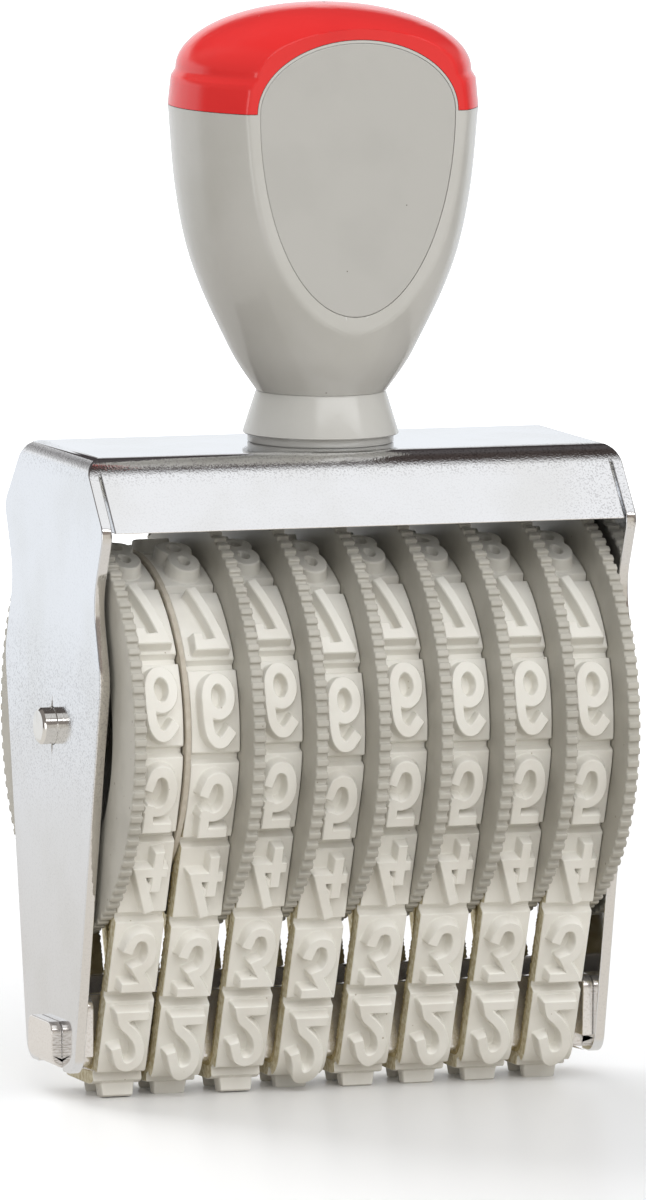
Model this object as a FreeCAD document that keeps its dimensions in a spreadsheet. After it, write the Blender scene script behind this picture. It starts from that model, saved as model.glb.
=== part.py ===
import FreeCAD, Part
import math
import os
import Sketcher

# Eight-band hand numbering stamp, in millimetres.
# Origin on the floor under the middle of the stamp, Z up, the axle along X, the printed side down.
# The front, with the label panel, is at -Y.

doc = FreeCAD.newDocument("numbering_stamp")

# Driving dimensions

SIZES = [
    ("sheet_gauge", 1.5, "thickness of the frame's and bridge's steel sheet"),
    ("frame_half_width", 38.1, "middle to the outer face of a side plate"),
    ("ring_headroom", 8.95, "thumb rings to the top of the frame"),
    ("top_half_depth", 12.8, "half depth of the top plate"),
    ("shoulder_drop", 9.4, "top of the frame to the skirts' lower edge and the side plates' shoulder"),
    ("shoulder_half_depth", 20.8, "half depth of a side plate at its shoulder"),
    ("waist_drop", 9.4, "side plate's shoulder to its waist"),
    ("waist_half_depth", 16.9, "half depth of a side plate at its waist"),
    ("bulge_drop", 10.5, "side plate's waist to its bulge"),
    ("bulge_half_depth", 20.2, "half depth of a side plate at its bulge"),
    ("foot_overhang", 0.4, "how far a side plate reaches below the bridge"),
    ("foot_half_depth", 9.7, "half depth of a side plate at its foot"),
    ("shoulder_round", 2.5, "rounding of the side plate's shoulders"),
    ("waist_round", 9.0, "rounding of the side plate's waist and bulge"),
    ("foot_round", 3.0, "rounding of the side plate's lower corners"),
    ("bend_radius", 2.6, "outer radius of the frame's bends"),
    ("seam_gap", 0.3, "gap between a skirt's end and the side plate"),
    ("ring_over_bridge", 6.35, "top of the bridge to the thumb rings"),
    ("axle_radius", 2.5, "radius of the axle"),
    ("axle_overhang", 2.0, "length of axle that stands proud of a side plate"),
    ("axle_chamfer", 0.4, "chamfer on the axle's ends"),
    ("axle_hole_clearance", 0.03, "radial clearance of the axle in the side plates"),
    ("notch_width", 1.6, "width of the notches above and below the axle hole"),
    ("notch_rise", 1.1, "how far a notch reaches past the axle hole"),
    ("bore_clearance", 0.06, "radial running clearance of a wheel on the axle"),
    ("ring_radius", 28.5, "radius of the serrated thumb ring"),
    ("ring_width", 1.7, "thickness of the thumb ring"),
    ("tooth_depth", 0.5, "depth of the gaps between the ring's teeth"),
    ("tooth_count", 100, "teeth round a thumb ring"),
    ("tooth_gap_share", 0.45, "gap between two teeth as a share of their pitch"),
    ("drum_radius", 20.4, "radius of the drum that the band runs round"),
    ("drum_wall", 1.6, "wall of the drum"),
    ("web_thickness", 2.0, "thickness of the wheel's web"),
    ("hub_radius", 5.0, "radius of the wheel's hub"),
    ("wheel_gap", 0.1, "play between two pieces on the axle"),
    ("disc_thickness", 0.7, "thickness of the separator disc"),
    ("disc_proud", 0.5, "how far the separator disc stands past the tile faces"),
    ("end_washer_thickness", 0.5, "thickness of the washers at the ends of the axle"),
    ("end_washer_radius", 6.0, "radius of the washers at the ends of the axle"),
    ("end_play", 0.15, "play between an outer wheel and the washer beside it"),
    ("drum_clearance", 0.1, "gap between a band and the drum that turns in it"),
    ("band_side_clearance", 0.1, "gap between a band and the thumb ring beside it"),
    ("band_thickness", 2.4, "thickness of a band from the drum to the tile face"),
    ("backing_thickness", 0.6, "thickness of the band's woven backing"),
    ("tile_count", 15, "tiles round a band"),
    ("groove_width", 1.5, "width of the groove between two tiles at the face"),
    ("groove_floor_width", 0.7, "width of the groove at its floor"),
    ("groove_depth", 1.1, "depth of the groove between two tiles"),
    ("digit_relief", 1.8, "height of the raised digits over the tile"),
    ("digit_height", 9.0, "height of the digits"),
    ("digit_margin", 0.95, "side of a band to its digits"),
    ("digit_stroke", 1.35, "width of a digit's strokes"),
    ("bridge_half_depth", 6.25, "half depth of the bridge's channel"),
    ("bridge_bend_radius", 2.0, "outer radius of the bridge's lower bends"),
    ("bridge_front_rise", 10.1, "height of the bridge's front flange"),
    ("bridge_rear_rise", 11.1, "height of the bridge's rear flange"),
    ("ear_half_depth", 9.5, "middle to the outer edge of the bridge's ears"),
    ("ear_round", 1.8, "rounding of an ear's upper corner"),
    ("tongue_width", 10.0, "width of the tongues folded up outside"),
    ("tongue_rise", 6.2, "height of a folded tongue over the bridge's underside"),
    ("tongue_round", 1.5, "rounding of a tongue's upper corners"),
    ("tongue_play", 0.15, "gap between a tongue and its notch in the side plate"),
    ("handle_radius", 21.0, "largest radius of the handle"),
    ("handle_flat", 14.1, "handle's axis to its flats front and back"),
    ("handle_wall", 2.2, "wall of the handle and its cap"),
    ("handle_floor", 6.0, "solid height over the neck of the handle"),
    ("neck_radius", 8.8, "radius of the neck between collar and handle"),
    ("body_rise", 38.7, "neck to the seam between handle body and cap"),
    ("cap_step_rise", 4.0, "seam to the step round the cap"),
    ("cap_step_height", 0.9, "height of the step round the cap"),
    ("cap_taper", 0.4, "how far the cap draws in from the seam to its step"),
    ("cap_step_depth", 0.6, "how far the dome stands back from the cap's step"),
    ("dome_rise", 8.9, "height of the cap's dome"),
    ("arch_side_rim", 1.26, "edge of the flat to the grey arch in the cap, at the seam"),
    ("arch_top_rim", 1.46, "edge of the flat to the top of the grey arch"),
    ("panel_thickness", 0.8, "thickness of the label panel"),
    ("panel_inset", 0.4, "edge of the grey arch to the label panel"),
    ("panel_drop", 27.6, "depth of the label panel under the seam"),
    ("collar_rise", 7.0, "height of the collar"),
    ("collar_step_rise", 1.2, "height of the collar's straight foot"),
    ("collar_step_depth", 0.7, "how far the straight foot stands back from the collar's cone"),
    ("collar_radius", 10.6, "radius of the collar's cone at its foot"),
    ("boss_wall", 1.7, "wall of the screw boss round the threaded insert"),
    ("boss_rise", 17.4, "neck to the top of the screw boss"),
    ("insert_radius", 3.5, "outer radius of the threaded insert"),
    ("insert_length", 10.0, "length of the threaded insert"),
    ("screw_radius", 2.5, "radius of the handle screw"),
    ("screw_slip", 0.2, "radial clearance of the screw in plain holes"),
    ("thread_slip", 0.05, "radial clearance of the screw in the insert"),
    ("screw_tip_depth", 2.0, "top of the screw boss to the tip of the handle screw"),
    ("screw_head_radius", 4.5, "radius of the screw's head"),
    ("screw_head_height", 2.6, "height of the screw's head"),
    ("screw_slot_width", 1.2, "width of the slot in the screw's head"),
    ("screw_slot_depth", 1.2, "depth of the slot in the screw's head"),
    ("screw_washer_radius", 6.0, "radius of the washer under the screw's head"),
    ("screw_washer_thickness", 1.0, "thickness of the washer under the screw's head"),
    ("overrun", 1.0, "how far a cut runs past the piece it cuts"),
]

sheet = doc.addObject("Spreadsheet::Sheet", "sizes")
sheet.Label = "driving dimensions"
for row, (name, amount, meaning) in enumerate(SIZES, start=1):
    sheet.set(f"A{row}", name)
    sheet.set(f"B{row}", str(amount))
    sheet.set(f"C{row}", meaning)
    sheet.setAlias(f"B{row}", name)
doc.recompute()


def value(expression):
    """The number that an expression on the sheet comes to."""
    return float(sheet.evalExpression(expression))


def size(name):
    """One driving dimension."""
    return value(f"sizes.{name}")


# Sizes that follow from the driving dimensions, as expressions on the sheet

PLATE_INNER = "(sizes.frame_half_width - sizes.sheet_gauge)"
SKIRT_SLOPE = "((sizes.shoulder_half_depth - sizes.top_half_depth) / sizes.shoulder_drop)"
SKIRT_WALL = f"(sizes.sheet_gauge * sqrt(1 + {SKIRT_SLOPE} ^ 2))"
BRIDGE_UNDERSIDE = "(sizes.band_thickness + sizes.digit_relief)"
BRIDGE_FLOOR = f"({BRIDGE_UNDERSIDE} + sizes.sheet_gauge)"
AXLE_HEIGHT = f"({BRIDGE_UNDERSIDE} + sizes.bridge_rear_rise + sizes.ring_over_bridge + sizes.ring_radius)"
TOP_HEIGHT = f"({AXLE_HEIGHT} + sizes.ring_radius + sizes.ring_headroom)"
TOP_UNDERSIDE = f"({TOP_HEIGHT} - sizes.sheet_gauge)"
SHOULDER_HEIGHT = f"({TOP_HEIGHT} - sizes.shoulder_drop)"
WAIST_HEIGHT = f"({SHOULDER_HEIGHT} - sizes.waist_drop)"
BULGE_HEIGHT = f"({WAIST_HEIGHT} - sizes.bulge_drop)"
FOOT_HEIGHT = f"({BRIDGE_UNDERSIDE} - sizes.foot_overhang)"
WHEEL_COUNT = 8
HALF_STACK = f"({PLATE_INNER} - sizes.end_washer_thickness - sizes.end_play)"
WHEEL_PITCH = f"((2 * {HALF_STACK} - sizes.disc_thickness) / {WHEEL_COUNT})"
SEAT_WIDTH = f"({WHEEL_PITCH} - sizes.wheel_gap - sizes.ring_width)"
BAND_WIDTH = f"({SEAT_WIDTH} - 2 * sizes.band_side_clearance)"
FIRST_COLUMN = f"(-{HALF_STACK} + sizes.ring_width + {SEAT_WIDTH} / 2)"
DISC_MIDDLE = f"({FIRST_COLUMN} + {SEAT_WIDTH} / 2 + sizes.wheel_gap + sizes.disc_thickness / 2)"
SECOND_COLUMN = f"({DISC_MIDDLE} + sizes.disc_thickness / 2 + sizes.wheel_gap + {SEAT_WIDTH} / 2)"
COLUMNS = [FIRST_COLUMN] + [f"({SECOND_COLUMN} + {step} * {WHEEL_PITCH})" for step in range(WHEEL_COUNT - 1)]
BORE_RADIUS = "(sizes.axle_radius + sizes.bore_clearance)"
SCREW_HOLE = "(sizes.screw_radius + sizes.screw_slip)"
NECK_HEIGHT = f"({TOP_HEIGHT} + sizes.collar_rise)"
SEAM_HEIGHT = f"({NECK_HEIGHT} + sizes.body_rise)"
DOME_RADIUS = "(sizes.handle_radius - sizes.cap_taper - sizes.cap_step_depth)"
DOME_SHARE_AT_FLAT = f"sqrt(1 - (sizes.handle_flat / {DOME_RADIUS}) ^ 2)"
CAP_FLAT_RISE = (f"(sizes.cap_step_rise + sizes.cap_step_height"
                 f" + sizes.dome_rise * {DOME_SHARE_AT_FLAT})")
ARCH_RISE = f"({CAP_FLAT_RISE} - sizes.arch_top_rim)"
ARCH_HALF_WIDTH = "(sqrt(sizes.handle_radius ^ 2 - sizes.handle_flat ^ 2) - sizes.arch_side_rim)"
BOSS_TOP = f"({NECK_HEIGHT} + sizes.boss_rise)"

# How closely an edge that is picked for rounding matches the place asked for
PICKING_TOLERANCE = 0.03


# Ways to draw and build

def outline(body, name, plane, loops):
    """Sketch of closed loops whose corners sit at expressions on the sheet."""
    sketch = body.newObject("Sketcher::SketchObject", name)
    base = [feature for feature in body.Origin.OriginFeatures if feature.Role == plane][0]
    sketch.AttachmentSupport = [(base, "")]
    sketch.MapMode = "FlatFace"
    for corners in loops:
        first = sketch.GeometryCount
        spots = [FreeCAD.Vector(value(across), value(up), 0) for across, up in corners]
        for step, spot in enumerate(spots):
            sketch.addGeometry(Part.LineSegment(spot, spots[(step + 1) % len(spots)]), False)
        for step, (spot, corner) in enumerate(zip(spots, corners)):
            here, following = first + step, first + (step + 1) % len(spots)
            sketch.addConstraint(Sketcher.Constraint("Coincident", here, 2, following, 1))
            for kind, number, expression in zip(("DistanceX", "DistanceY"), (spot.x, spot.y), corner):
                index = sketch.addConstraint(Sketcher.Constraint(kind, -1, 1, here, 1, number))
                sketch.setExpression(f"Constraints[{index}]", expression)
    return sketch


def circle_sketch(body, name, plane, radius, up="0"):
    """Sketch of one circle on the upright axis of its plane."""
    sketch = body.newObject("Sketcher::SketchObject", name)
    base = [feature for feature in body.Origin.OriginFeatures if feature.Role == plane][0]
    sketch.AttachmentSupport = [(base, "")]
    sketch.MapMode = "FlatFace"
    centre = FreeCAD.Vector(0, value(up), 0)
    sketch.addGeometry(Part.Circle(centre, FreeCAD.Vector(0, 0, 1), value(radius)), False)
    for kind, number, expression in (("DistanceX", 0, None), ("DistanceY", centre.y, up)):
        index = sketch.addConstraint(Sketcher.Constraint(kind, -1, 1, 0, 3, number))
        if expression not in (None, "0"):
            sketch.setExpression(f"Constraints[{index}]", expression)
    index = sketch.addConstraint(Sketcher.Constraint("Radius", 0, value(radius)))
    sketch.setExpression(f"Constraints[{index}]", radius)
    return sketch


def mirrored(corners):
    """The same loop on the other side of the sketch's upright axis."""
    return [(f"-({across})", up) for across, up in reversed(corners)]


def both_sides(corners):
    """A loop drawn on one side and closed by its own mirror image."""
    return corners + mirrored(corners)


def pad(body, name, sketch, length):
    """Pad that grows equally to both sides of its sketch."""
    feature = body.newObject("PartDesign::Pad", name)
    feature.Profile = sketch
    feature.SideType = "Symmetric"
    feature.setExpression("Length", length)
    doc.recompute()
    return feature


def pocket(body, name, sketch, length=None):
    """Pocket to both sides of its sketch, right through where no length is given."""
    before = body.Shape.Volume
    feature = body.newObject("PartDesign::Pocket", name)
    feature.Profile = sketch
    feature.SideType = "Symmetric"
    if length:
        feature.setExpression("Length", length)
    else:
        feature.Type = "ThroughAll"
    doc.recompute()
    if body.Shape.Volume >= before:
        raise RuntimeError(f"{name} cuts nothing")
    return feature


def rounded(body, name, radius, wanted):
    """Fillet of the straight edges whose middle point and direction pass a test."""
    edges = []
    for number, edge in enumerate(body.Shape.Edges, start=1):
        if isinstance(edge.Curve, Part.Line):
            along = edge.Curve.Direction
            middle = edge.CenterOfMass
            if wanted(middle, along):
                edges.append(f"Edge{number}")
    base = body.Tip
    feature = body.newObject("PartDesign::Fillet", name)
    feature.Base = (base, edges)
    feature.setExpression("Radius", radius)
    doc.recompute()
    return feature


def near(number, goal):
    """Whether a place on the shape is the place that a size gives."""
    return abs(number - goal) < PICKING_TOLERANCE


def along_x(direction):
    return near(abs(direction.x), direction.Length)


def along_y(direction):
    return near(abs(direction.y), direction.Length)


def edge_along_x(half_depth, height):
    """Test for the edges along X at one half depth, front and back, and one height."""
    return lambda middle, along: (along_x(along) and near(abs(middle.y), value(half_depth))
                                  and near(middle.z, value(height)))


def edge_along_y(half_width, height):
    """Test for the edges along Y at one half width, left and right, and one height."""
    return lambda middle, along: (along_y(along) and near(abs(middle.x), value(half_width))
                                  and near(middle.z, value(height)))


def place(item, x="0", y="0", z="0"):
    """Binds an object's place to expressions on the sheet."""
    for letter, expression in zip("xyz", (x, y, z)):
        if expression != "0":
            item.setExpression(f"Placement.Base.{letter}", expression)


def cylinder(name, radius, length, turned=False):
    """Part cylinder with bound sizes, standing along Z or lying along X."""
    item = doc.addObject("Part::Cylinder", name)
    item.setExpression("Radius", radius)
    item.setExpression("Height", length)
    if turned:
        item.Placement.Rotation = FreeCAD.Rotation(FreeCAD.Vector(0, 1, 0), 90)
    return item


def cut(name, base, tool):
    """Part cut of one object by another."""
    item = doc.addObject("Part::Cut", name)
    item.Base = base
    item.Tool = tool
    return item


def solid_piece(name, shape):
    """Object that holds a shape made by Part's own functions."""
    item = doc.addObject("Part::Feature", name)
    item.Shape = shape
    return item


pieces = {}


def keep(name, item):
    """Labels a finished sub-part with the name of its node."""
    item.Label = name
    pieces[name] = item


# Frame: one sheet, two side plates hang from the top plate, a sloping skirt front and back

def make_frame():
    body = doc.addObject("PartDesign::Body", "frame_body")
    half_outline = [
        ("sizes.foot_half_depth", FOOT_HEIGHT),
        ("sizes.bulge_half_depth", BULGE_HEIGHT),
        ("sizes.waist_half_depth", WAIST_HEIGHT),
        ("sizes.shoulder_half_depth", SHOULDER_HEIGHT),
        ("sizes.top_half_depth", TOP_HEIGHT),
    ]
    pad(body, "side_plates", outline(body, "side_outline", "YZ_Plane", [both_sides(half_outline)]),
        "2 * sizes.frame_half_width")
    for level, radius, height in (("shoulder", "shoulder_round", SHOULDER_HEIGHT),
                                  ("waist", "waist_round", WAIST_HEIGHT),
                                  ("bulge", "waist_round", BULGE_HEIGHT),
                                  ("foot", "foot_round", FOOT_HEIGHT)):
        rounded(body, f"{level}_rounds", f"sizes.{radius}", edge_along_x(f"sizes.{level}_half_depth", height))
    inside = [
        ("sizes.shoulder_half_depth + sizes.overrun", f"{FOOT_HEIGHT} - sizes.overrun"),
        ("sizes.shoulder_half_depth + sizes.overrun", TOP_UNDERSIDE),
    ]
    pocket(body, "inside", outline(body, "inside_outline", "YZ_Plane", [both_sides(inside)]),
           f"2 * {PLATE_INNER}")
    rounded(body, "inner_bends", "sizes.bend_radius - sizes.sheet_gauge",
            edge_along_y(PLATE_INNER, TOP_UNDERSIDE))
    under_top = f"(sizes.top_half_depth + {SKIRT_SLOPE} * sizes.sheet_gauge)"
    skirt = [
        (under_top, TOP_UNDERSIDE),
        ("sizes.shoulder_half_depth", SHOULDER_HEIGHT),
        (f"sizes.shoulder_half_depth - {SKIRT_WALL}", SHOULDER_HEIGHT),
        (f"{under_top} - {SKIRT_WALL}", TOP_UNDERSIDE),
    ]
    pad(body, "skirts", outline(body, "skirt_outline", "YZ_Plane", [skirt, mirrored(skirt)]),
        f"2 * ({PLATE_INNER} - sizes.seam_gap)")
    front_bend = edge_along_x("sizes.top_half_depth", TOP_HEIGHT)
    side_bend = edge_along_y("sizes.frame_half_width", TOP_HEIGHT)
    rounded(body, "outer_bends", "sizes.bend_radius",
            lambda middle, along: front_bend(middle, along) or side_bend(middle, along))
    axle_hole = circle_sketch(body, "axle_hole", "YZ_Plane", "sizes.axle_radius + sizes.axle_hole_clearance",
                              AXLE_HEIGHT)
    pocket(body, "axle_holes", axle_hole)
    notch_reach = "(sizes.axle_radius + sizes.notch_rise)"
    notch = [("-sizes.notch_width / 2", AXLE_HEIGHT), ("sizes.notch_width / 2", AXLE_HEIGHT)]
    upper = notch + [("0", f"{AXLE_HEIGHT} + {notch_reach}")]
    lower = [("0", f"{AXLE_HEIGHT} - {notch_reach}")] + notch[::-1]
    pocket(body, "upper_notches", outline(body, "upper_notch", "YZ_Plane", [upper]))
    pocket(body, "lower_notches", outline(body, "lower_notch", "YZ_Plane", [lower]))
    tongue_notch = [
        ("sizes.tongue_width / 2 + sizes.tongue_play", f"{FOOT_HEIGHT} - sizes.overrun"),
        ("sizes.tongue_width / 2 + sizes.tongue_play", BRIDGE_FLOOR),
    ]
    pocket(body, "tongue_notches", outline(body, "tongue_notch", "YZ_Plane", [both_sides(tongue_notch)]))
    pocket(body, "screw_hole", circle_sketch(body, "screw_hole_outline", "XY_Plane", SCREW_HOLE))
    keep("frame", body)


# Bridge: folded channel across the foot, with ears inside the side plates and tongues folded up outside

def make_bridge():
    body = doc.addObject("PartDesign::Body", "bridge_body")
    front_top = f"({BRIDGE_UNDERSIDE} + sizes.bridge_front_rise)"
    rear_top = f"({BRIDGE_UNDERSIDE} + sizes.bridge_rear_rise)"
    channel = [
        ("-sizes.bridge_half_depth", BRIDGE_UNDERSIDE),
        ("sizes.bridge_half_depth", BRIDGE_UNDERSIDE),
        ("sizes.bridge_half_depth", rear_top),
        ("sizes.bridge_half_depth - sizes.sheet_gauge", rear_top),
        ("sizes.bridge_half_depth - sizes.sheet_gauge", BRIDGE_FLOOR),
        ("-(sizes.bridge_half_depth - sizes.sheet_gauge)", BRIDGE_FLOOR),
        ("-(sizes.bridge_half_depth - sizes.sheet_gauge)", front_top),
        ("-sizes.bridge_half_depth", front_top),
    ]
    pad(body, "channel", outline(body, "channel_outline", "YZ_Plane", [channel]), f"2 * {PLATE_INNER}")
    rounded(body, "channel_bends", "sizes.bridge_bend_radius",
            edge_along_x("sizes.bridge_half_depth", BRIDGE_UNDERSIDE))
    rounded(body, "channel_inner_bends", "sizes.bridge_bend_radius - sizes.sheet_gauge",
            edge_along_x("sizes.bridge_half_depth - sizes.sheet_gauge", BRIDGE_FLOOR))
    ear_foot = f"({BRIDGE_UNDERSIDE} + sizes.bridge_bend_radius)"
    rear_ear = [
        ("sizes.bridge_half_depth", ear_foot),
        ("sizes.ear_half_depth", ear_foot),
        ("sizes.ear_half_depth", rear_top),
        ("sizes.bridge_half_depth", rear_top),
    ]
    front_ear = mirrored([(across, front_top if up == rear_top else up) for across, up in rear_ear])
    pad(body, "ear_bars", outline(body, "ear_outline", "YZ_Plane", [rear_ear, front_ear]),
        f"2 * {PLATE_INNER}")
    front_corner = edge_along_x("sizes.ear_half_depth", front_top)
    rear_corner = edge_along_x("sizes.ear_half_depth", rear_top)
    rounded(body, "ear_rounds", "sizes.ear_round",
            lambda middle, along: front_corner(middle, along) or rear_corner(middle, along))
    between = [
        ("sizes.bridge_half_depth", f"{ear_foot} - sizes.overrun"),
        ("sizes.ear_half_depth + sizes.overrun", f"{ear_foot} - sizes.overrun"),
        ("sizes.ear_half_depth + sizes.overrun", f"{rear_top} + sizes.overrun"),
        ("sizes.bridge_half_depth", f"{rear_top} + sizes.overrun"),
    ]
    pocket(body, "between_ears", outline(body, "between_outline", "YZ_Plane", [between, mirrored(between)]),
           f"2 * ({PLATE_INNER} - sizes.sheet_gauge)")
    tongue_outer = "(sizes.frame_half_width + sizes.sheet_gauge)"
    tongue_top = f"({BRIDGE_UNDERSIDE} + sizes.tongue_rise)"
    tongue = [
        (f"{PLATE_INNER} - sizes.sheet_gauge", BRIDGE_UNDERSIDE),
        (tongue_outer, BRIDGE_UNDERSIDE),
        (tongue_outer, tongue_top),
        ("sizes.frame_half_width", tongue_top),
        ("sizes.frame_half_width", BRIDGE_FLOOR),
        (f"{PLATE_INNER} - sizes.sheet_gauge", BRIDGE_FLOOR),
    ]
    pad(body, "tongues", outline(body, "tongue_outline", "XZ_Plane", [tongue, mirrored(tongue)]),
        "sizes.tongue_width")
    rounded(body, "tongue_bends", "sizes.bridge_bend_radius", edge_along_y(tongue_outer, BRIDGE_UNDERSIDE))
    rounded(body, "tongue_corners", "sizes.tongue_round", edge_along_x("sizes.tongue_width / 2", tongue_top))
    keep("bridge", body)


# Axle, end washers and the separator disc between the first two bands

def make_axle():
    half_length = "(sizes.frame_half_width + sizes.axle_overhang)"
    bar = cylinder("axle_bar", "sizes.axle_radius", f"2 * {half_length}", turned=True)
    place(bar, x=f"-{half_length}", z=AXLE_HEIGHT)
    axle = doc.addObject("Part::Chamfer", "axle_chamfered")
    axle.Base = bar
    doc.recompute()
    chamfer = size("axle_chamfer")
    axle.Edges = [(number, chamfer, chamfer) for number, edge in enumerate(bar.Shape.Edges, start=1)
                  if isinstance(edge.Curve, Part.Circle)]
    keep("axle", axle)


def make_ring(name, radius, thickness, middle):
    """Flat ring on the axle."""
    disc = cylinder(f"{name}_disc", radius, thickness, turned=True)
    bore = cylinder(f"{name}_bore", BORE_RADIUS, f"{thickness} + 2 * sizes.overrun", turned=True)
    place(disc, x=f"{middle} - {thickness} / 2", z=AXLE_HEIGHT)
    place(bore, x=f"{middle} - {thickness} / 2 - sizes.overrun", z=AXLE_HEIGHT)
    keep(name, cut(f"{name}_ring", disc, bore))


def make_axle_rings():
    tile_face_radius = "(sizes.drum_radius + sizes.drum_clearance + sizes.band_thickness)"
    make_ring("separator_disc", f"{tile_face_radius} + sizes.disc_proud", "sizes.disc_thickness", DISC_MIDDLE)
    washer_middle = f"({PLATE_INNER} - sizes.end_washer_thickness / 2)"
    make_ring("end_washer_left", "sizes.end_washer_radius", "sizes.end_washer_thickness", f"-{washer_middle}")
    make_ring("end_washer_right", "sizes.end_washer_radius", "sizes.end_washer_thickness", washer_middle)


# Wheels: eight of one moulding, a drum with a serrated thumb ring, the first wheel the other way round

def make_moulding():
    body = doc.addObject("PartDesign::Body", "wheel_moulding")
    left, right = f"(-{SEAT_WIDTH} / 2)", f"({SEAT_WIDTH} / 2 + sizes.ring_width)"
    web_left, web_right = "(-sizes.web_thickness / 2)", "(sizes.web_thickness / 2)"
    rim_inner = "(sizes.drum_radius - sizes.drum_wall)"
    section = [
        (left, "sizes.drum_radius"), (f"{SEAT_WIDTH} / 2", "sizes.drum_radius"),
        (f"{SEAT_WIDTH} / 2", "sizes.ring_radius"), (right, "sizes.ring_radius"),
        (right, rim_inner), (web_right, rim_inner),
        (web_right, "sizes.hub_radius"), (right, "sizes.hub_radius"),
        (right, BORE_RADIUS), (left, BORE_RADIUS),
        (left, "sizes.hub_radius"), (web_left, "sizes.hub_radius"), (web_left, rim_inner), (left, rim_inner),
    ]
    turned = body.newObject("PartDesign::Revolution", "turned")
    turned.Profile = outline(body, "wheel_section", "XY_Plane", [section])
    axis = [feature for feature in body.Origin.OriginFeatures if feature.Role == "X_Axis"][0]
    turned.ReferenceAxis = (axis, [""])
    doc.recompute()
    half_gap = "(pi * sizes.ring_radius / sizes.tooth_count * sizes.tooth_gap_share)"
    gap = [
        (f"-{half_gap}", "sizes.ring_radius - sizes.tooth_depth"),
        (half_gap, "sizes.ring_radius - sizes.tooth_depth"),
        (half_gap, "sizes.ring_radius + sizes.overrun"),
        (f"-{half_gap}", "sizes.ring_radius + sizes.overrun"),
    ]
    gap_cut = pocket(body, "tooth_gap", outline(body, "gap_outline", "YZ_Plane", [gap]))
    teeth = body.newObject("PartDesign::PolarPattern", "teeth")
    teeth.Originals = [gap_cut]
    teeth.Axis = (axis, [""])
    teeth.setExpression("Occurrences", "sizes.tooth_count")
    body.Tip = teeth
    doc.recompute()
    return body


def make_wheels():
    moulding = make_moulding().Shape
    for number, column in enumerate(COLUMNS, start=1):
        wheel = solid_piece(f"wheel_on_axle_{number}", moulding.copy())
        if number == 1:
            wheel.Placement.Rotation = FreeCAD.Rotation(FreeCAD.Vector(0, 0, 1), 180)
        place(wheel, x=column, z=AXLE_HEIGHT)
        keep(f"wheel_{number}", wheel)


# Bands: a loop from the bridge's corners over the drum, tiles outside, woven backing inside

class BandPath:
    """Runs from the middle of the printed face up the front, over the drum and down the back."""

    def __init__(self):
        self.flat_half = size("bridge_half_depth") - size("bridge_bend_radius")
        self.underside = value(BRIDGE_UNDERSIDE)
        self.corner = size("bridge_bend_radius")
        self.drum = size("drum_radius") + size("drum_clearance")
        self.axle = value(AXLE_HEIGHT)
        self.pitch_line = size("band_thickness") / 2
        fall = self.axle - self.underside - self.corner
        distance = math.hypot(self.flat_half, fall)
        lean = math.atan2(self.flat_half, fall)
        self.turn = lean + math.acos((self.drum - self.corner) / distance)
        self.strand = math.sqrt(distance ** 2 - (self.drum - self.corner) ** 2)
        self.corner_run = (self.corner + self.pitch_line) * self.turn
        self.half_drum_run = (self.drum + self.pitch_line) * (math.pi - self.turn)
        self.half_length = self.flat_half + self.corner_run + self.strand + self.half_drum_run
        self.tile_pitch = 2 * self.half_length / size("tile_count")

    def spot(self, run, height):
        """Place at a run along the band and a height over its inner face, and the angle of its normal."""
        run = run % (2 * self.half_length)
        side, ahead = (-1, run) if run <= self.half_length else (1, 2 * self.half_length - run)
        strand_start = self.flat_half + self.corner_run
        if ahead <= self.flat_half:
            angle, depth, level = 0, ahead, self.underside - height
        elif ahead <= strand_start:
            angle = (ahead - self.flat_half) / (self.corner + self.pitch_line)
            depth, level = self.corner_spot(angle, height)
        elif ahead <= strand_start + self.strand:
            angle = self.turn
            depth, level = self.corner_spot(angle, height)
            depth += (ahead - strand_start) * math.cos(angle)
            level += (ahead - strand_start) * math.sin(angle)
        else:
            angle = self.turn + (ahead - strand_start - self.strand) / (self.drum + self.pitch_line)
            depth, level = self.drum_spot(angle, height)
        return FreeCAD.Vector(0, side * depth, level), angle if side < 0 else 2 * math.pi - angle

    def corner_spot(self, angle, height):
        reach = self.corner + height
        level = self.underside + self.corner - reach * math.cos(angle)
        return self.flat_half + reach * math.sin(angle), level

    def drum_spot(self, angle, height):
        reach = self.drum + height
        return reach * math.sin(angle), self.axle - reach * math.cos(angle)

    def loop(self, height):
        """Closed wire round the band's left edge at one height over its inner face."""
        left = -value(BAND_WIDTH) / 2

        def at(spot, side):
            return FreeCAD.Vector(left, side * spot[0], spot[1])
        foot = (self.flat_half, self.underside - height)
        corner_middle = self.corner_spot(self.turn / 2, height)
        corner_end = self.corner_spot(self.turn, height)
        drum_start = self.drum_spot(self.turn, height)
        top = FreeCAD.Vector(left, 0, self.axle + self.drum + height)
        edges = [Part.LineSegment(at(foot, -1), at(foot, 1)),
                 Part.Arc(at(foot, 1), at(corner_middle, 1), at(corner_end, 1)),
                 Part.LineSegment(at(corner_end, 1), at(drum_start, 1)),
                 Part.Arc(at(drum_start, 1), top, at(drum_start, -1)),
                 Part.LineSegment(at(drum_start, -1), at(corner_end, -1)),
                 Part.Arc(at(corner_end, -1), at(corner_middle, -1), at(foot, -1))]
        return Part.Wire([edge.toShape() for edge in edges])

    def placement(self, run, height):
        """Frame on the band: X across it, Y along it, Z out of it."""
        spot, angle = self.spot(run, height)
        return FreeCAD.Placement(spot, FreeCAD.Rotation(FreeCAD.Vector(1, 0, 0), 180 - math.degrees(angle)))


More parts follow.
